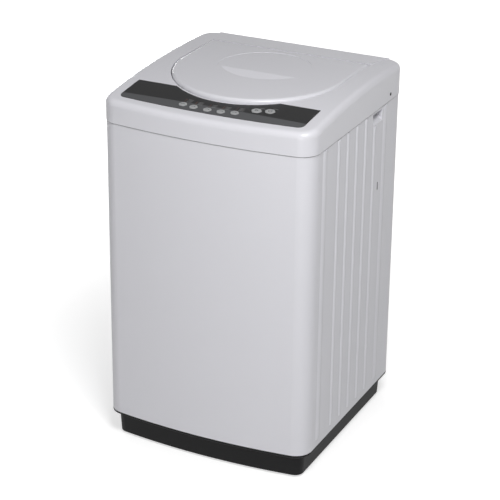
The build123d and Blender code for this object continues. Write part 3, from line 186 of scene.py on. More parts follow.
class WasherTrim(bpy.types.PropertyGroup):
    """Sizes of the trim that is added to the model."""

    seam_height: length("Seam height", "Height of the strip under the cover", 0.0012)
    seam_proud: length("Seam reach", "How far the strip stands out", 0.0010)
    seam_tuck: length("Seam tuck", "How far the strip goes in behind the sheet", 0.0004)
    hole_disc_radius: length("Screw plug", "Radius of the plugs on the cover's screw holes", 0.0042)
    dash_length: length("Dash length", "Length of a printed dash", 0.0132)
    dash_width: length("Dash width", "Width of a printed dash or stroke", 0.0014)
    lamp_radius: length("Lamp radius", "Radius of a lamp on the panel", 0.0011)
    hole_radius: length("Basket hole", "Radius of a hole in the basket's wall", 0.0022)
    hole_rows: count("Rows of holes", "Rows of holes up the basket's wall", 14)
    holes_around: count("Holes in a row", "Holes in one row round the basket", 48)
    cross_length: length("Cross length", "Length of the slots in the rear screws", 0.0052)
    cross_width: length("Cross width", "Width of the slots in the rear screws", 0.0009)
    thread_pitch: length("Thread pitch", "Pitch of the hose thread", 0.0018)
    thread_depth: length("Thread depth", "Height of the hose thread", 0.0010)
    spring_wire: length("Spring wire", "Thickness of the springs' wire", 0.0032)
    spring_radius: length("Spring radius", "Radius of the coil, to the wire's middle", 0.0135)
    spring_turns: count("Spring turns", "Turns of each suspension spring", 5)
    hose_wall: length("Hose wall", "Thickness of the inside drain hose at its cuffs", 0.0025)
    hose_cuff: length("Hose cuff", "Length of the plain ends of the hose", 0.016)
    rib_pitch: length("Rib pitch", "Distance between the drain hose's ribs", 0.0060)
    rib_depth: length("Rib depth", "Depth of the valleys between the ribs", 0.0012)


class WasherStage(bpy.types.PropertyGroup):
    """Camera and light."""

    azimuth: angle("Azimuth", "Turn of the camera to the right of the front", 26.03)
    elevation: angle("Elevation", "Height of the camera over the level", 23.80)
    roll: angle("Roll", "Tilt of the picture", 0.64)
    focal_pixels: bpy.props.FloatProperty(
        name="Focal length", description="In pixels of a picture 500 wide", default=1805.6)
    place: bpy.props.FloatVectorProperty(
        name="Place", description="Where the camera stands", default=(1.8188, -3.7405, 2.2984),
        subtype="TRANSLATION", unit="LENGTH")
    key_power: power("Key light", "Lamp high at the front right", 77.0)
    fill_power: power("Fill light", "Low lamp in front", 24.0)
    rear_power: power("Rear light", "Low lamp at the left rear", 54.0)
    sky: bpy.props.FloatProperty(
        name="Room light", description="Even light from all round", default=0.20, min=0)


# Shader maths as Python expressions


class Signal:
    """One output of a node. Arithmetic on it adds Math nodes."""

    def __init__(self, nodes, socket):
        self.nodes = nodes
        self.socket = socket

    def __add__(self, other):
        return self.nodes.math("ADD", self, other)

    def __sub__(self, other):
        return self.nodes.math("SUBTRACT", self, other)

    def __rsub__(self, other):
        return self.nodes.math("SUBTRACT", other, self)

    def __mul__(self, other):
        return self.nodes.math("MULTIPLY", self, other)

    def __truediv__(self, other):
        return self.nodes.math("DIVIDE", self, other)

    __radd__ = __add__
    __rmul__ = __mul__

    def above(self, limit, soft):
        """0 below a limit and 1 above it, over a soft width."""
        ramp = (self - limit) / soft + 0.5
        return self.nodes.math("MINIMUM", self.nodes.math("MAXIMUM", ramp, 0.0), 1.0)


class Nodes:
    """A node tree that starts empty."""

    def __init__(self, tree):
        self.tree = tree
        self.tree.nodes.clear()

    def set(self, node, inputs):
        """Gives a node's sockets their values or links."""
        for key, value in inputs.items():
            socket = node.inputs[key]
            if isinstance(value, Signal):
                self.tree.links.new(value.socket, socket)
            elif socket.type == "RGBA":
                socket.default_value = (*value, 1.0)
            else:
                socket.default_value = value

    def node(self, kind, settings=None, inputs=None, output=0):
        """Any node: its settings first, then its sockets, and the wanted output."""
        node = self.tree.nodes.new(kind)
        for key, value in (settings or {}).items():
            setattr(node, key, value)
        self.set(node, inputs or {})
        return Signal(self, node.outputs[output]) if node.outputs else None

    def math(self, operation, *values):
        """A Math node on values and signals."""
        return self.node("ShaderNodeMath", {"operation": operation}, dict(enumerate(values)))

    def seen(self):
        """1 for what the camera, a reflection or a clear piece sees, and 0 for other light."""
        kinds = ("Is Camera Ray", "Is Glossy Ray", "Is Transmission Ray")
        camera, glossy, clear = [self.node("ShaderNodeLightPath", output=kind) for kind in kinds]
        return self.math("MAXIMUM", self.math("MAXIMUM", camera, glossy), clear)


class Finish(Nodes):
    """A material and its nodes."""

    def __init__(self, name, **constants):
        self.material = bpy.data.materials.new(name)
        self.material.use_nodes = True
        super().__init__(self.material.node_tree)
        self.output = self.tree.nodes.new("ShaderNodeOutputMaterial")
        self.surface = self.tree.nodes.new("ShaderNodeBsdfPrincipled")
        self.show(Signal(self, self.surface.outputs[0]))
        self.vary(**constants)

    def show(self, shader):
        """Makes a shader the one that the material shows."""
        self.set(self.output, {0: shader})

    def place(self):
        """Object coordinates, in metres."""
        return self.node("ShaderNodeTexCoord", output="Object")

    def axis(self, letter):
        """One of the object coordinates."""
        return self.node("ShaderNodeSeparateXYZ", inputs={0: self.place()}, output=letter)

    def noise(self, scale, detail=3.0, stretch=None):
        """Cloudy values from 0 to 1, drawn out along an axis where stretched."""
        where = self.place()
        if stretch:
            where = self.node("ShaderNodeMapping", inputs={"Vector": where, "Scale": stretch})
        return self.node(
            "ShaderNodeTexNoise", inputs={"Vector": where, "Scale": scale, "Detail": detail})

    def mix(self, share, first, second):
        """A colour between two colours."""
        return self.node(
            "ShaderNodeMix", {"data_type": "RGBA"}, {0: share, 6: first, 7: second}, output=2)

    def tones(self, share, tint, darker, lighter):
        """A colour between a darker and a lighter tone of one tint."""
        return self.mix(share, shade(tint, darker), shade(tint, lighter))

    def bump(self, height, distance, strength=1.0):
        """Small relief from a height."""
        self.vary(normal=self.node("ShaderNodeBump", inputs={
            "Height": height, "Distance": distance, "Strength": strength}))

    def vary(self, **inputs):
        """Sets or links sockets of the surface, named in small letters."""
        for key, value in inputs.items():
            name = key.replace("_", " ").title().replace("Ior", "IOR")
            self.set(self.surface, {name: value})


def shade(tint, factor):
    """A colour made lighter or darker."""
    return tuple(min(channel * factor, 1.0) for channel in tint)


def satin_paint(tint):
    """Baked satin paint with a fine orange peel and faint handling marks."""
    paint = Finish("satin_paint", coat_roughness=0.22, specular_ior_level=0.42)
    cloud, haze, marks = paint.noise(3.0, 4.0), paint.noise(160.0), paint.noise(9.0)
    peel = paint.noise(620.0, 2.0) + 0.35 * paint.noise(90.0, 2.0)
    paint.vary(base_color=paint.tones(cloud, tint, 0.988, 1.01),
               roughness=0.42 + 0.05 * haze, coat_weight=0.16 + 0.04 * marks)
    paint.bump(peel, distance=0.00012, strength=0.55)
    return paint.material


def moulded_plastic(name, tint, rough, grain, sheen=0.5):
    """Moulded plastic with a fine spark-eroded grain and a soft sheen."""
    skin = Finish(name, specular_ior_level=sheen)
    cloud, haze = skin.noise(5.0, 3.0), skin.noise(240.0)
    spark = skin.noise(1400.0, 2.0) + 0.4 * skin.noise(200.0, 2.0)
    skin.vary(base_color=skin.tones(cloud, tint, 0.988, 1.01), roughness=rough + 0.06 * haze)
    skin.bump(spark, distance=grain, strength=0.5)
    return skin.material


def fascia_plastic(dark, band):
    """Charcoal fascia: a lighter band along the front, parted from the dark field by a line
    that bows as a parabola."""
    skin = Finish("fascia_plastic", specular_ior_level=0.35, coat_roughness=0.2)
    across, grain = skin.axis("X"), skin.noise(900.0, 2.0)
    line = BAND_LINE + BAND_BOW * (1.0 - across * across / PANEL_HALF**2)
    field = (skin.axis("Y") - line).above(0.0, 0.0012)
    skin.vary(base_color=skin.mix(field, skin.tones(grain, band, 0.88, 1.1),
                                  skin.tones(grain, dark, 0.85, 1.25)),
              roughness=0.42 + 0.12 * grain - 0.04 * field, coat_weight=0.02 + 0.03 * grain)
    skin.bump(skin.noise(1600.0, 2.0), distance=0.00006, strength=0.4)
    return skin.material


def brushed_metal(name, tint, rough, stretch, metallic=1.0):
    """Bare metal with drawn brush lines."""
    metal = Finish(name, metallic=metallic)
    lines = metal.noise(420.0, 3.0, stretch)
    metal.vary(base_color=metal.tones(lines, tint, 0.86, 1.08), roughness=rough + 0.16 * lines)
    metal.bump(lines, distance=0.00008, strength=0.3)
    return metal.material


def zinc_steel(tint):
    """Zinc plated sheet with its cloudy spangle."""
    metal = Finish("zinc_steel", metallic=0.9)
    spangle = metal.node("ShaderNodeTexVoronoi", output="Color",
                         inputs={"Vector": metal.place(), "Scale": 55.0})
    grey = metal.node("ShaderNodeRGBToBW", inputs={0: spangle})
    metal.vary(base_color=metal.tones(grey, tint, 0.8, 1.15), roughness=0.34 + 0.16 * grey)
    return metal.material


def soft_rubber(name, tint):
    """Matt rubber with a dusty bloom."""
    skin = Finish(name, specular_ior_level=0.3)
    bloom = skin.noise(60.0, 4.0)
    skin.vary(base_color=skin.tones(bloom, tint, 0.8, 1.5), roughness=0.66 + 0.2 * bloom)
    skin.bump(skin.noise(900.0, 2.0), distance=0.0001, strength=0.5)
    return skin.material


def circuit_green(tint):
    """Solder mask with a faint pattern of tracks."""
    skin = Finish("circuit_green", specular_ior_level=0.5)
    tracks = skin.node("ShaderNodeTexWave", {"wave_type": "BANDS"}, output=1, inputs={
        "Vector": skin.place(), "Scale": 60.0, "Distortion": 9.0, "Detail": 1.0})
    skin.vary(base_color=skin.tones(tracks, tint, 0.7, 1.4), roughness=0.3 + 0.1 * tracks)
    return skin.material


def printed_ink(name, tint):
    """Flat screen printing, a little uneven."""
    ink = Finish(name, specular_ior_level=0.4)
    ink.vary(base_color=ink.tones(ink.noise(300.0), tint, 0.85, 1.1),
             roughness=0.45 + 0.1 * ink.noise(80.0))
    return ink.material


# Surfaces worked out with numpy


def add_mesh(name, points, faces, material, body):
    """A new piece from points and faces, riding on a body where one is named."""
    mesh = bpy.data.meshes.new(name)
    mesh.from_pydata(np.asarray(points, float).tolist(), [], np.asarray(faces, int).tolist())
    mesh.polygons.foreach_set("use_smooth", np.full(len(mesh.polygons), True))
    mesh.materials.append(material)
    mesh.update()
    piece = bpy.data.objects.new(name, mesh)
    bpy.context.scene.collection.objects.link(piece)
    if body:
        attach(piece, body)
    return piece


def full_turn(steps):
    """Angles evenly round a circle."""
    return np.linspace(0, 2 * pi, steps, endpoint=False)


def grid_faces(rows, columns, close_rows=False, close_columns=False):
    """Quads of a grid of points, in row order, closed round one or both ways."""
    r = np.arange(rows if close_rows else rows - 1)[:, None]
    c = np.arange(columns if close_columns else columns - 1)[None, :]
    r2, c2 = (r + 1) % rows, (c + 1) % columns
    quads = [r * columns + c, r * columns + c2, r2 * columns + c2, r2 * columns + c]
    return np.stack(quads, axis=-1).reshape(-1, 4)


def copies(points, faces, places):
    """One shape repeated: every frame is a place and three directions, one row each."""
    points, faces, places = np.asarray(points), np.asarray(faces), np.asarray(places)
    moved = places[:, None, 0, :] + np.einsum("pk,nkx->npx", points, places[:, 1:, :])
    steps = np.arange(len(places))[:, None, None] * len(points)
    return moved.reshape(-1, 3), (faces[None] + steps).reshape(-1, faces.shape[1])


def stamped_disc(radius, height, sides=12):
    """A low round button: a circle lifted as a wall, drawn in over a bevelled edge, and closed
    on the middle of its flat top."""
    turn = full_turn(sides)
    ring = np.stack([np.cos(turn), np.sin(turn), np.zeros(sides)], axis=-1)
    profile = [(1.0, 0.0), (1.0, 0.7), (0.82, 1.0), (CLOSED, 1.0)]
    rings = [ring * radius * share + [0, 0, height * rise] for share, rise in profile]
    return np.concatenate(rings), grid_faces(len(rings), sides, close_columns=True)


def rounded_strip(half_x, half_y, height, sides=4):
    """A low printed dash: a rectangle with a quarter circle at each corner, lifted to a height
    and closed on its middle."""
    radius = min(half_x, half_y) * 0.95
    corner_x = np.repeat([1, -1, -1, 1], sides) * (half_x - radius)
    corner_y = np.repeat([1, 1, -1, -1], sides) * (half_y - radius)
    turn = (np.linspace(0, pi / 2, sides) + np.arange(4)[:, None] * pi / 2).ravel()
    rim = np.column_stack([corner_x + radius * np.cos(turn), corner_y + radius * np.sin(turn)])
    rings = [np.column_stack([rim * share, np.full(len(rim), rise)])
             for share, rise in ((1.0, 0.0), (1.0, height), (2 * CLOSED, height))]
    return np.concatenate(rings), grid_faces(len(rings), len(rim), close_columns=True)


def deck_frames(spots, lift):
    """Frames on the control panel at plan places. The panel's height is a parabola in Y, fitted
    to the upper points of its mesh, and the frame leans with that parabola's slope."""
    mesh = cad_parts["control_panel"].data
    points = np.empty(len(mesh.vertices) * 3)
    mesh.vertices.foreach_get("co", points)
    _, y, z = points.reshape(-1, 3).T
    upper = z > np.polyval(np.polyfit(y, z, 2), y)
    curve = np.polyfit(y[upper], z[upper], 2)
    spots = np.asarray(spots, float)
    slope = np.polyval(np.polyder(curve), spots[:, 1])
    normal = np.column_stack([np.zeros(len(spots)), -slope, np.ones(len(spots))])
    normal /= np.linalg.norm(normal, axis=1)[:, None]
    along = np.tile([1.0, 0.0, 0.0], (len(spots), 1))
    base = np.column_stack([spots, np.polyval(curve, spots[:, 1])]) + normal * lift
    return np.stack([base, along, np.cross(normal, along), normal], axis=1)


def cabinet_path(outset, height, steps=14):
    """The cabinet's plan outline, closed and moved outwards by an outset: straight sides and
    back, a front that bows as one arc, and corners as arcs that run into them."""
    low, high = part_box("base")
    half, rear = high.x, high.y
    arc = (half * half + FRONT_BOW * FRONT_BOW) / (2 * FRONT_BOW)
    centre = low.y + arc
    lean = np.arcsin(half / arc)
    turn = np.linspace(0, 1, steps)

    def corner(x, y, radius, first, last):
        spread = first + (last - first) * turn
        reach = radius + outset
        return np.column_stack([x + reach * np.cos(spread), y + reach * np.sin(spread)])

    front_x, rear_x = half - FRONT_CORNER, half - REAR_CORNER
    front_y = centre - sqrt((arc - FRONT_CORNER) ** 2 - front_x**2)
    rear_y = rear - REAR_CORNER
    bow_end = 0.8 * half
    bow_x = np.linspace(-bow_end, bow_end, 3 * steps)
    bow = np.column_stack([bow_x, centre - np.sqrt((arc + outset) ** 2 - bow_x**2)])
    path = np.concatenate([
        corner(front_x, front_y, FRONT_CORNER, -pi / 2 + lean, 0),
        corner(rear_x, rear_y, REAR_CORNER, 0, pi / 2),
        corner(-rear_x, rear_y, REAR_CORNER, pi / 2, pi),
        corner(-front_x, front_y, FRONT_CORNER, pi, 1.5 * pi - lean),
        bow,
    ])
    return np.column_stack([path, np.full(len(path), height)])


def paint_node(material, *names):
    """Gives CAD nodes a finish."""
    for name in names:
        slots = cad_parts[name].data.materials
        slots.clear()
        slots.append(material)


# Operators


class WasherStep:
    """What every step shares: the settings."""

    @property
    def finish(self):
        return bpy.context.scene.washer_finish

    @property
    def trim(self):
        return bpy.context.scene.washer_trim


class WASHER_OT_cabinet(WasherStep, bpy.types.Operator):
    """Paint the cabinet, lay a dark strip of painted shade in the gap under the cover, and put
    painted shade behind the side's slots and dark discs on the cover's screw holes.
    """

    bl_idname = "washer.cabinet"
    bl_label = "Cabinet"

    def execute(self, context):
        paint_node(satin_paint(self.finish.paint), "cabinet", "rear_panel")
        self.lay_seam_shade()
        self.shade_openings()
        return {"FINISHED"}

    def lay_seam_shade(self):
        """A dark strip whose colour is painted shade for the gap under the cover: a small rectangle
        carried along the cabinet's plan outline.
        """
        trim = self.trim
        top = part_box("cabinet")[1].z
        section = [(-trim.seam_tuck, trim.seam_height), (trim.seam_proud, trim.seam_height),
                   (trim.seam_proud, 0.0), (-trim.seam_tuck, 0.0)]
        rings = [cabinet_path(out, top - drop) for out, drop in section]
        faces = grid_faces(len(rings), len(rings[0]), close_rows=True, close_columns=True)
        # painted shade: the strip's dark colour stands in for the shade in the gap under the cover
        strip = soft_rubber("seam_rubber", self.finish.seam)
        add_mesh("seam_strip", np.concatenate(rings), faces, strip, "cabinet_body")

    def shade_openings(self):
        """Painted shade behind the side slots, as dark sheets that stand in for the dark inside the
        cabinet, and dark discs on the cover's screw holes: low discs, drawn out to size."""
        # painted shade: one dark colour for the sheets behind the slots, and for the discs on the
        # screw holes
        slot_shade_and_hole_dark = soft_rubber("felt_dark", self.finish.slot_shade_and_hole_dark)
        cover_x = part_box("top_cover")[1].x
        hole_disc, up = self.trim.hole_disc_radius, np.eye(3)[2]
        slot_shades, hole_discs = [], []
        for side in (-1.0, 1.0):
            along, out = np.array([0, side, 0]), np.array([side, 0, 0])
            slot_shades.append([[side * (SHEET_X - SLOT_DEPTH), *SLOT_PLACE],
                          along * SLOT_SHADE[0], up * SLOT_SHADE[1], out])
            hole_discs.append([[side * (cover_x - WALL_LIFT), *SCREW_PLACE],
                          along * hole_disc, up * hole_disc, out])
        points, faces = copies(*stamped_disc(1.0, height=0.0004, sides=20), slot_shades)
        add_mesh("slot_felts", points, faces, slot_shade_and_hole_dark, "cabinet_body")
        points, faces = copies(*stamped_disc(1.0, height=0.0009, sides=20), hole_discs)
        add_mesh("screw_plugs", points, faces, slot_shade_and_hole_dark, "cabinet_body")


class WASHER_OT_cover(WasherStep, bpy.types.Operator):
    """Give the top cover, the lid and the hand grips their moulded finish."""

    bl_idname = "washer.cover"
    bl_label = "Cover and lid"

    def execute(self, context):
        cover = moulded_plastic("cover_plastic", self.finish.cover, rough=0.285, grain=0.00003)
        paint_node(cover, "top_cover", "lid", "hand_grips")
        paint_node(soft_rubber("bumper_rubber", self.finish.bumper), "lid_bumpers")
        return {"FINISHED"}


class WASHER_OT_panel(WasherStep, bpy.types.Operator):
    """Finish the fascia and the buttons, and print plain dashes, lamps and signs on them."""

    bl_idname = "washer.panel"
    bl_label = "Control panel"

    buttons = [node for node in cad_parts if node.endswith("_button")]

    def execute(self, context):
        finish = self.finish
        paint_node(fascia_plastic(finish.fascia, finish.band), "control_panel")
        silver = moulded_plastic("button_silver", finish.button, rough=0.285, grain=0.00003)
        paint_node(silver, *self.buttons)
        tray = moulded_plastic("tray_plastic", finish.tray, rough=0.5, grain=0.0001)
        paint_node(tray, "board_tray", "lid_switch")
        paint_node(circuit_green(finish.board), "control_board")
        self.print_marks()
        self.print_signs()
        return {"FINISHED"}

    def centre(self, name):
        """The plan place of a button."""
        low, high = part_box(name)
        return (low.x + high.x) / 2, (low.y + high.y) / 2

    def print_marks(self):
        """Three short dashes behind each small button, each with a lamp at its head, and one dash
        behind each large button."""
        trim = self.trim
        dashes, lamps = [], []
        for name in self.buttons:
            x, y = self.centre(name)
            large = name in LARGE_BUTTONS
            for row in range(1 if large else MARK_ROWS):
                level = y + MARK_START + MARK_STEP * row
                dashes.append((x + DASH_SHIFT, level))
                if not large:
                    lamps.append((x + LAMP_SHIFT, level))
        ink = printed_ink("panel_ink", self.finish.ink)
        dash = rounded_strip(trim.dash_length / 2, trim.dash_width / 2, height=0.00012)
        points, faces = copies(*dash, deck_frames(dashes, PRINT_LIFT))
        add_mesh("panel_dashes", points, faces, ink, "cabinet_body")
        lens = printed_ink("lamp_lens", self.finish.lamp)
        disc = stamped_disc(trim.lamp_radius, height=0.0003)
        points, faces = copies(*disc, deck_frames(lamps, PRINT_LIFT))
        add_mesh("panel_lamps", points, faces, lens, "cabinet_body")

    def print_signs(self):
        """One plain sign on each cap: a chevron on the small ones, a start arrow, and a ring with
        a bar. A sign is made of strokes, each with the place of its middle and its turn in
        degrees, and the half length that all its strokes have."""
        ink = printed_ink("sign_ink", self.finish.sign)
        chevron = [((-0.0028, 0.0), 25), ((0.0028, 0.0), -25)]
        arrow = [((-0.0030, 0.0), 90), ((0.0006, 0.0018), -30), ((0.0006, -0.0018), 30)]
        ring_radius, bar_rise = 0.0044, 0.0036
        ring = [((ring_radius * cos(radians(turn)), ring_radius * sin(radians(turn))), turn + 90)
                for turn in range(120, 421, 30)] + [((0.0, bar_rise), 90)]
        signs = {"start_button": (arrow, 0.0040), "power_button": (ring, 0.0014)}
        for name in self.buttons:
            strokes, half = signs.get(name, (chevron, 0.0032))
            middle, along, up, out = deck_frames([self.centre(name)], BUTTON_RISE)[0]
            spots = []
            for (x, y), turn in strokes:
                c, s = cos(radians(turn)), sin(radians(turn))
                place = middle + x * along + y * up
                spots.append([place, c * along + s * up, c * up - s * along, out])
            stroke = rounded_strip(half, self.trim.dash_width / 2, height=0.00008)
            points, faces = copies(*stroke, spots)
            add_mesh(name + "_sign", points, faces, ink, name + "_body")


class WASHER_OT_base(WasherStep, bpy.types.Operator):
    """Finish the base and the feet."""

    bl_idname = "washer.base"
    bl_label = "Base and feet"

    def execute(self, context):
        base = moulded_plastic(
            "base_plastic", self.finish.base, rough=0.55, grain=0.00015, sheen=0.22)
        paint_node(base, "base")
        paint_node(soft_rubber("foot_rubber", self.finish.foot), "fixed_feet", "adjustable_foot")
        return {"FINISHED"}


class WASHER_OT_drum(WasherStep, bpy.types.Operator):
    """Finish the tub, basket and pulsator, and draw the basket's holes as dark eyelets of painted
    shade.
    """

    bl_idname = "washer.drum"
    bl_label = "Tub and basket"

    def execute(self, context):
        finish = self.finish
        steel = brushed_metal("basket_steel", finish.basket, rough=0.30, stretch=(0.15, 0.15, 6.0),
                              metallic=0.55)
        paint_node(steel, "basket")
        tub = moulded_plastic("tub_plastic", finish.tub, rough=0.42, grain=0.0001)
        paint_node(tub, "outer_tub", "tub_ring", "suspension_cups", "inlet_box", "drain_valve",
                   "drain_outlet")
        ring = moulded_plastic("ring_plastic", finish.ring, rough=0.30, grain=0.00006)
        paint_node(ring, "balance_ring", "lint_filters")
        vanes = moulded_plastic("pulsator_plastic", finish.pulsator, rough=0.29, grain=0.00005)
        paint_node(vanes, "pulsator", "pulsator_screw")
        self.paint_hole_shades()
        return {"FINISHED"}

    def paint_hole_shades(self):
        """Round holes on the basket's wall, drawn as low eyelets that face the axis, their dark
        colour painted shade for what is seen through a hole: rows at even heights and even turns,
        every other row moved on by half a step."""
        rows, around = self.trim.hole_rows, self.trim.holes_around
        low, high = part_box("basket")
        foot, head = low.z + HOLES_FOOT, high.z - HOLES_HEAD
        radius = high.x - BASKET_WALL - WALL_LIFT
        row, step = np.meshgrid(np.arange(rows), np.arange(around), indexing="ij")
        turn = (2 * pi * (step + 0.5 * (row % 2)) / around).ravel()
        z = (foot + (head - foot) * row / (rows - 1)).ravel()
        none = np.zeros_like(turn)
        outward = np.column_stack([np.cos(turn), np.sin(turn), none])
        along = np.column_stack([np.sin(turn), -np.cos(turn), none])
        up = np.tile([0.0, 0.0, 1.0], (len(turn), 1))
        base = radius * outward + np.column_stack([none, none + (low.y + high.y) / 2, z])
        eyelet = stamped_disc(self.trim.hole_radius, height=0.0002, sides=10)
        points, faces = copies(*eyelet, np.stack([base, along, up, -outward], axis=1))
        # painted shade: the eyelets' dark colour stands in for the shade seen through the holes
        dark = soft_rubber("hole_dark", self.finish.hole)
        add_mesh("basket_holes", points, faces, dark, "basket_body")


class WASHER_OT_works(WasherStep, bpy.types.Operator):
    """Finish the drive, the suspension, the drain and the water fittings."""

    bl_idname = "washer.works"
    bl_label = "Works"

    def execute(self, context):
        finish = self.finish
        bright = brushed_metal("bright_steel", finish.steel, rough=0.285, stretch=(1.0, 1.0, 0.1))
        paint_node(bright, "lid_hinge_pins", "wash_shaft", "input_shaft", "motor_shaft",
                   "suspension_rods", "suspension_springs", "rear_screws", "lid_magnet")
        paint_node(zinc_steel(finish.zinc), "corner_brackets", "support_plate", "motor")
        cast = brushed_metal("cast_aluminium", finish.cast, rough=0.38, stretch=(1.0, 1.0, 1.0))
        paint_node(cast, "gearcase", "basket_hub", "drive_pulley", "motor_pulley")
        rubber = soft_rubber("black_rubber", finish.rubber)
        paint_node(rubber, "shaft_seal", "drive_belt", "cord_gland", "drain_hose", "air_tube")
        dark = moulded_plastic("dark_plastic", finish.dark, rough=0.45, grain=0.0001)
        paint_node(dark, "capacitor", "drain_actuator", "level_sensor", "drain_pull_rod")
        ivory = moulded_plastic("valve_plastic", finish.valve, rough=0.4, grain=0.0001)
        paint_node(ivory, "hot_inlet_valve", "cold_inlet_valve")
        for name in ("hot", "cold"):
            self.cut_thread(name, ivory)
        self.paint_cross_shades()
        self.wind_springs(bright)
        self.run_hose(rubber)
        return {"FINISHED"}

    def cut_thread(self, name, material):
        """The hose thread: a tube whose radius rises and falls along its length as a cosine, one
        pitch further each turn, and fades out over a tenth of the length at both ends."""
        low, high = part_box(name + "_inlet_valve")
        x, z = (low.x + high.x) / 2, (low.z + high.z) / 2
        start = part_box("top_cover")[1].y - INLET_POCKET + THREAD_FOOT
        end = high.y - THREAD_HEAD
        rows, around = 90, 36
        share, turn = np.meshgrid(np.linspace(0, 1, rows), full_turn(around), indexing="ij")
        y = start + (end - start) * share
        wave = 0.5 + 0.5 * np.cos(2 * pi * (y - start) / self.trim.thread_pitch - turn)
        fade = np.clip(np.minimum(share, 1 - share) * 10, 0, 1)
        radius = NIPPLE_RADIUS + THREAD_LIFT + self.trim.thread_depth * wave * fade
        points = np.stack([x + radius * np.cos(turn), y, z - radius * np.sin(turn)], axis=-1)
        faces = grid_faces(rows, around, close_columns=True)
        add_mesh(name + "_thread", points.reshape(-1, 3), faces, material, "cabinet_body")

    def paint_cross_shades(self):
        """Painted shade of the cross recesses in the heads of the rear panel's screws: two thin
        dark strips on each.
        """
        low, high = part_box("rear_screws")
        radius = REAR_SCREW_RADIUS
        along, out, up = np.eye(3)
        spots = [[[x, high.y + PRINT_LIFT, z], first, second, out]
                 for x in (low.x + radius, high.x - radius)
                 for z in np.linspace(low.z + radius, high.z - radius, REAR_SCREW_ROWS)
                 for first, second in ((-along, up), (-up, -along))]
        strip = rounded_strip(self.trim.cross_length / 2, self.trim.cross_width / 2, height=0.0001)
        points, faces = copies(*strip, spots)
        # painted shade: the rubber's near black stands in for the shade in the cross recesses
        dark = soft_rubber("cross_dark", self.finish.rubber)
        add_mesh("screw_crosses", points, faces, dark, "cabinet_body")

    def wind_springs(self, steel):
        """Suspension springs: round wire carried up a helix and pinched shut at both ends."""
        trim = self.trim
        low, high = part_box("suspension_springs")
        coil, wire, turns = trim.spring_radius, trim.spring_wire / 2, trim.spring_turns
        rows, around = 140, 10
        rise = high.z - low.z - 2 * wire
        share = np.linspace(0, 1, rows)[:, None]
        turn = 2 * pi * turns * share
        none = np.zeros_like(turn)
        out = np.stack([np.cos(turn), np.sin(turn), none], axis=-1)
        forward = np.stack(
            [-coil * np.sin(turn), coil * np.cos(turn), none + rise / (2 * pi * turns)], axis=-1)
        across = np.cross(forward / np.linalg.norm(forward, axis=-1, keepdims=True), out)
        spin = full_turn(around)[None, :, None]
        thick = np.where((share == 0) | (share == 1), CLOSED * wire, wire)[:, :, None]
        line = coil * out + np.stack([none, none, low.z + wire + rise * share], axis=-1)
        points = (line + thick * (np.cos(spin) * out + np.sin(spin) * across)).reshape(-1, 3)
        reach = coil + wire
        places = [[[x, y, 0], *np.eye(3)] for x in (low.x + reach, high.x - reach)
                  for y in (low.y + reach, high.y - reach)]
        points, faces = copies(points, grid_faces(rows, around, close_columns=True), places)
        springs = add_mesh("coil_springs", points, faces, steel, None)
        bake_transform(springs)
        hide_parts("suspension_springs")

    def run_hose(self, rubber):
        """The inside drain hose: a tube whose outer radius ripples as a cosine between two plain
        cuffs, round a plain bore."""
        trim = self.trim
        low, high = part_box("drain_hose")
        x, z, radius = (low.x + high.x) / 2, (low.z + high.z) / 2, (high.z - low.z) / 2
        cuff, rows, around = trim.hose_cuff, 160, 32
        y = np.linspace(low.y, high.y, rows)
        ribbed = np.clip(np.minimum(y - low.y, high.y - y) / cuff - 1, 0, 1)
        valley = 0.5 - 0.5 * np.cos(2 * pi * (y - low.y) / trim.rib_pitch)
        outside = radius - trim.rib_depth * valley * ribbed
        bore = np.full(rows, radius - trim.hose_wall)
        reach = np.concatenate([outside, bore])[:, None]
        along = np.concatenate([y, y[::-1]])[:, None]
        turn = full_turn(around)[None, :]
        points = np.stack(
            [x + reach * np.cos(turn), along + 0 * turn, z - reach * np.sin(turn)], axis=-1)
        faces = grid_faces(2 * rows, around, close_rows=True, close_columns=True)
        hose = add_mesh("ribbed_hose", points.reshape(-1, 3), faces, rubber, None)
        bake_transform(hose)
        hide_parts("drain_hose")


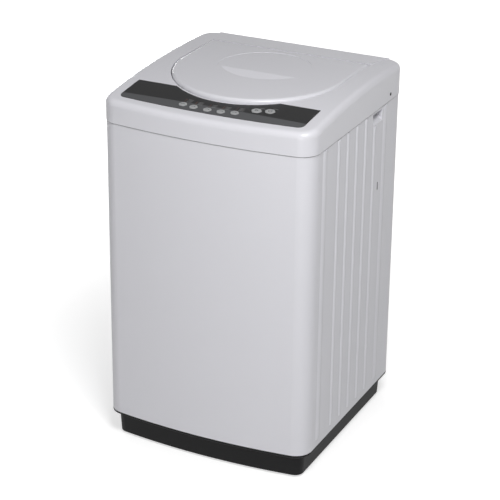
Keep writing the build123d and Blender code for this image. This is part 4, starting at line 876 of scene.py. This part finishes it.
class WASHER_OT_stage(WasherStep, bpy.types.Operator):
    """Pale floor, soft light and the camera."""

    bl_idname = "washer.stage"
    bl_label = "Stage"

    def execute(self, context):
        setting = context.scene.washer_stage
        context.scene.view_settings.view_transform = "Standard"
        self.lay_floor()
        self.light_room(context.scene, setting)
        self.set_camera(context.scene, setting)
        return {"FINISHED"}

    def lay_floor(self):
        """A wide flat sheet that shows white to the camera and keeps the shadow."""
        floor = Finish("floor_white", roughness=0.9, specular_ior_level=0.1)
        floor.vary(base_color=floor.mix(floor.noise(0.5), (0.60, 0.60, 0.60), (0.62, 0.62, 0.62)))
        x, y = floor.axis("X"), floor.axis("Y")
        far = floor.math("SQRT", x * x + y * y).above(FLOOR_RING, FLOOR_SOFT)
        glow = floor.node("ShaderNodeEmission", inputs={
            "Color": FLOOR_NEAR + (FLOOR_FAR - FLOOR_NEAR) * far, "Strength": floor.seen()})
        surface = Signal(floor, floor.surface.outputs[0])
        floor.show(floor.node("ShaderNodeAddShader", inputs={0: surface, 1: glow}))
        reach = FLOOR_REACH
        corners = [(-reach, -reach, 0), (reach, -reach, 0), (reach, reach, 0), (-reach, reach, 0)]
        mesh = bpy.data.meshes.new("floor")
        mesh.from_pydata(corners, [], [(0, 1, 2, 3)])
        mesh.materials.append(floor.material)
        sheet = bpy.data.objects.new("floor", mesh)
        bpy.context.scene.collection.objects.link(sheet)

    def light_room(self, scene, setting):
        """An even room whose horizon shows white, a key lamp high at the front right, a low fill in
        front and a low lamp at the left rear."""
        world = bpy.data.worlds.new("studio")
        scene.world = world
        world.use_nodes = True
        room = Nodes(world.node_tree)
        way = room.node("ShaderNodeTexCoord", output="Generated")
        height = room.node("ShaderNodeSeparateXYZ", inputs={0: way}, output="Z")
        white = (1.0 - setting.sky) * (1.0 - height.above(HORIZON, HORIZON_SOFT))
        glow = room.node("ShaderNodeBackground", inputs={
            "Color": (1.0, 1.0, 1.0), "Strength": setting.sky + white * room.seen()})
        room.node("ShaderNodeOutputWorld", inputs={0: glow})
        for name, (place, target, size) in LAMPS.items():
            self.hang_lamp(name, place, target, size, getattr(setting, name + "_power"))

    def hang_lamp(self, name, place, target, size, watts):
        """A square soft lamp aimed at a point."""
        lamp = bpy.data.lights.new(name, "AREA")
        lamp.shape = "SQUARE"
        lamp.size = size
        lamp.energy = watts
        holder = bpy.data.objects.new(name, lamp)
        holder.location = place
        aim = Vector(target) - Vector(place)
        holder.rotation_euler = aim.to_track_quat("-Z", "Y").to_euler()
        bpy.context.scene.collection.objects.link(holder)

    def set_camera(self, scene, setting):
        """The viewing angle of the photograph."""
        a, e, r = setting.azimuth, setting.elevation, setting.roll
        back = Vector((sin(a) * cos(e), -cos(a) * cos(e), sin(e)))
        right = Vector((0, 0, 1)).cross(back).normalized()
        up = back.cross(right)
        right, up = cos(r) * right + sin(r) * up, cos(r) * up - sin(r) * right
        lens = bpy.data.cameras.new("camera")
        lens.sensor_width = SENSOR_MM
        lens.lens = setting.focal_pixels / PIXELS * SENSOR_MM
        camera = bpy.data.objects.new("camera", lens)
        turn = Matrix((right, up, back)).transposed().to_4x4()
        camera.matrix_world = Matrix.Translation(setting.place) @ turn
        scene.collection.objects.link(camera)
        scene.camera = camera


class WASHER_PT_sidebar(bpy.types.Panel):
    """Lists the settings and the steps."""

    bl_idname = "WASHER_PT_sidebar"
    bl_label = "Washing machine"
    bl_space_type = "VIEW_3D"
    bl_region_type = "UI"
    bl_category = "Washer"

    def draw(self, context):
        for name, group in GROUPS.items():
            for key in group.__annotations__:
                self.layout.prop(getattr(context.scene, name), key)
        for step in STEPS:
            self.layout.operator(step.bl_idname)


STEPS = (WASHER_OT_cabinet, WASHER_OT_cover, WASHER_OT_panel, WASHER_OT_base, WASHER_OT_drum,
         WASHER_OT_works, WASHER_OT_stage)
GROUPS = {"washer_finish": WasherFinish, "washer_trim": WasherTrim, "washer_stage": WasherStage}
CLASSES = (*GROUPS.values(), *STEPS, WASHER_PT_sidebar)


def register():
    """Adds the classes and the settings."""
    for item in CLASSES:
        bpy.utils.register_class(item)
    for name, group in GROUPS.items():
        setattr(bpy.types.Scene, name, bpy.props.PointerProperty(type=group))


def unregister():
    """Takes them away again."""
    for name in GROUPS:
        delattr(bpy.types.Scene, name)
    for item in reversed(CLASSES):
        bpy.utils.unregister_class(item)


def main():
    """Runs every step in order."""
    register()
    for step in STEPS:
        group, name = step.bl_idname.split(".")
        getattr(getattr(bpy.ops, group), name)()
    bpy.context.view_layer.update()


if __name__ == "__main__":
    main()
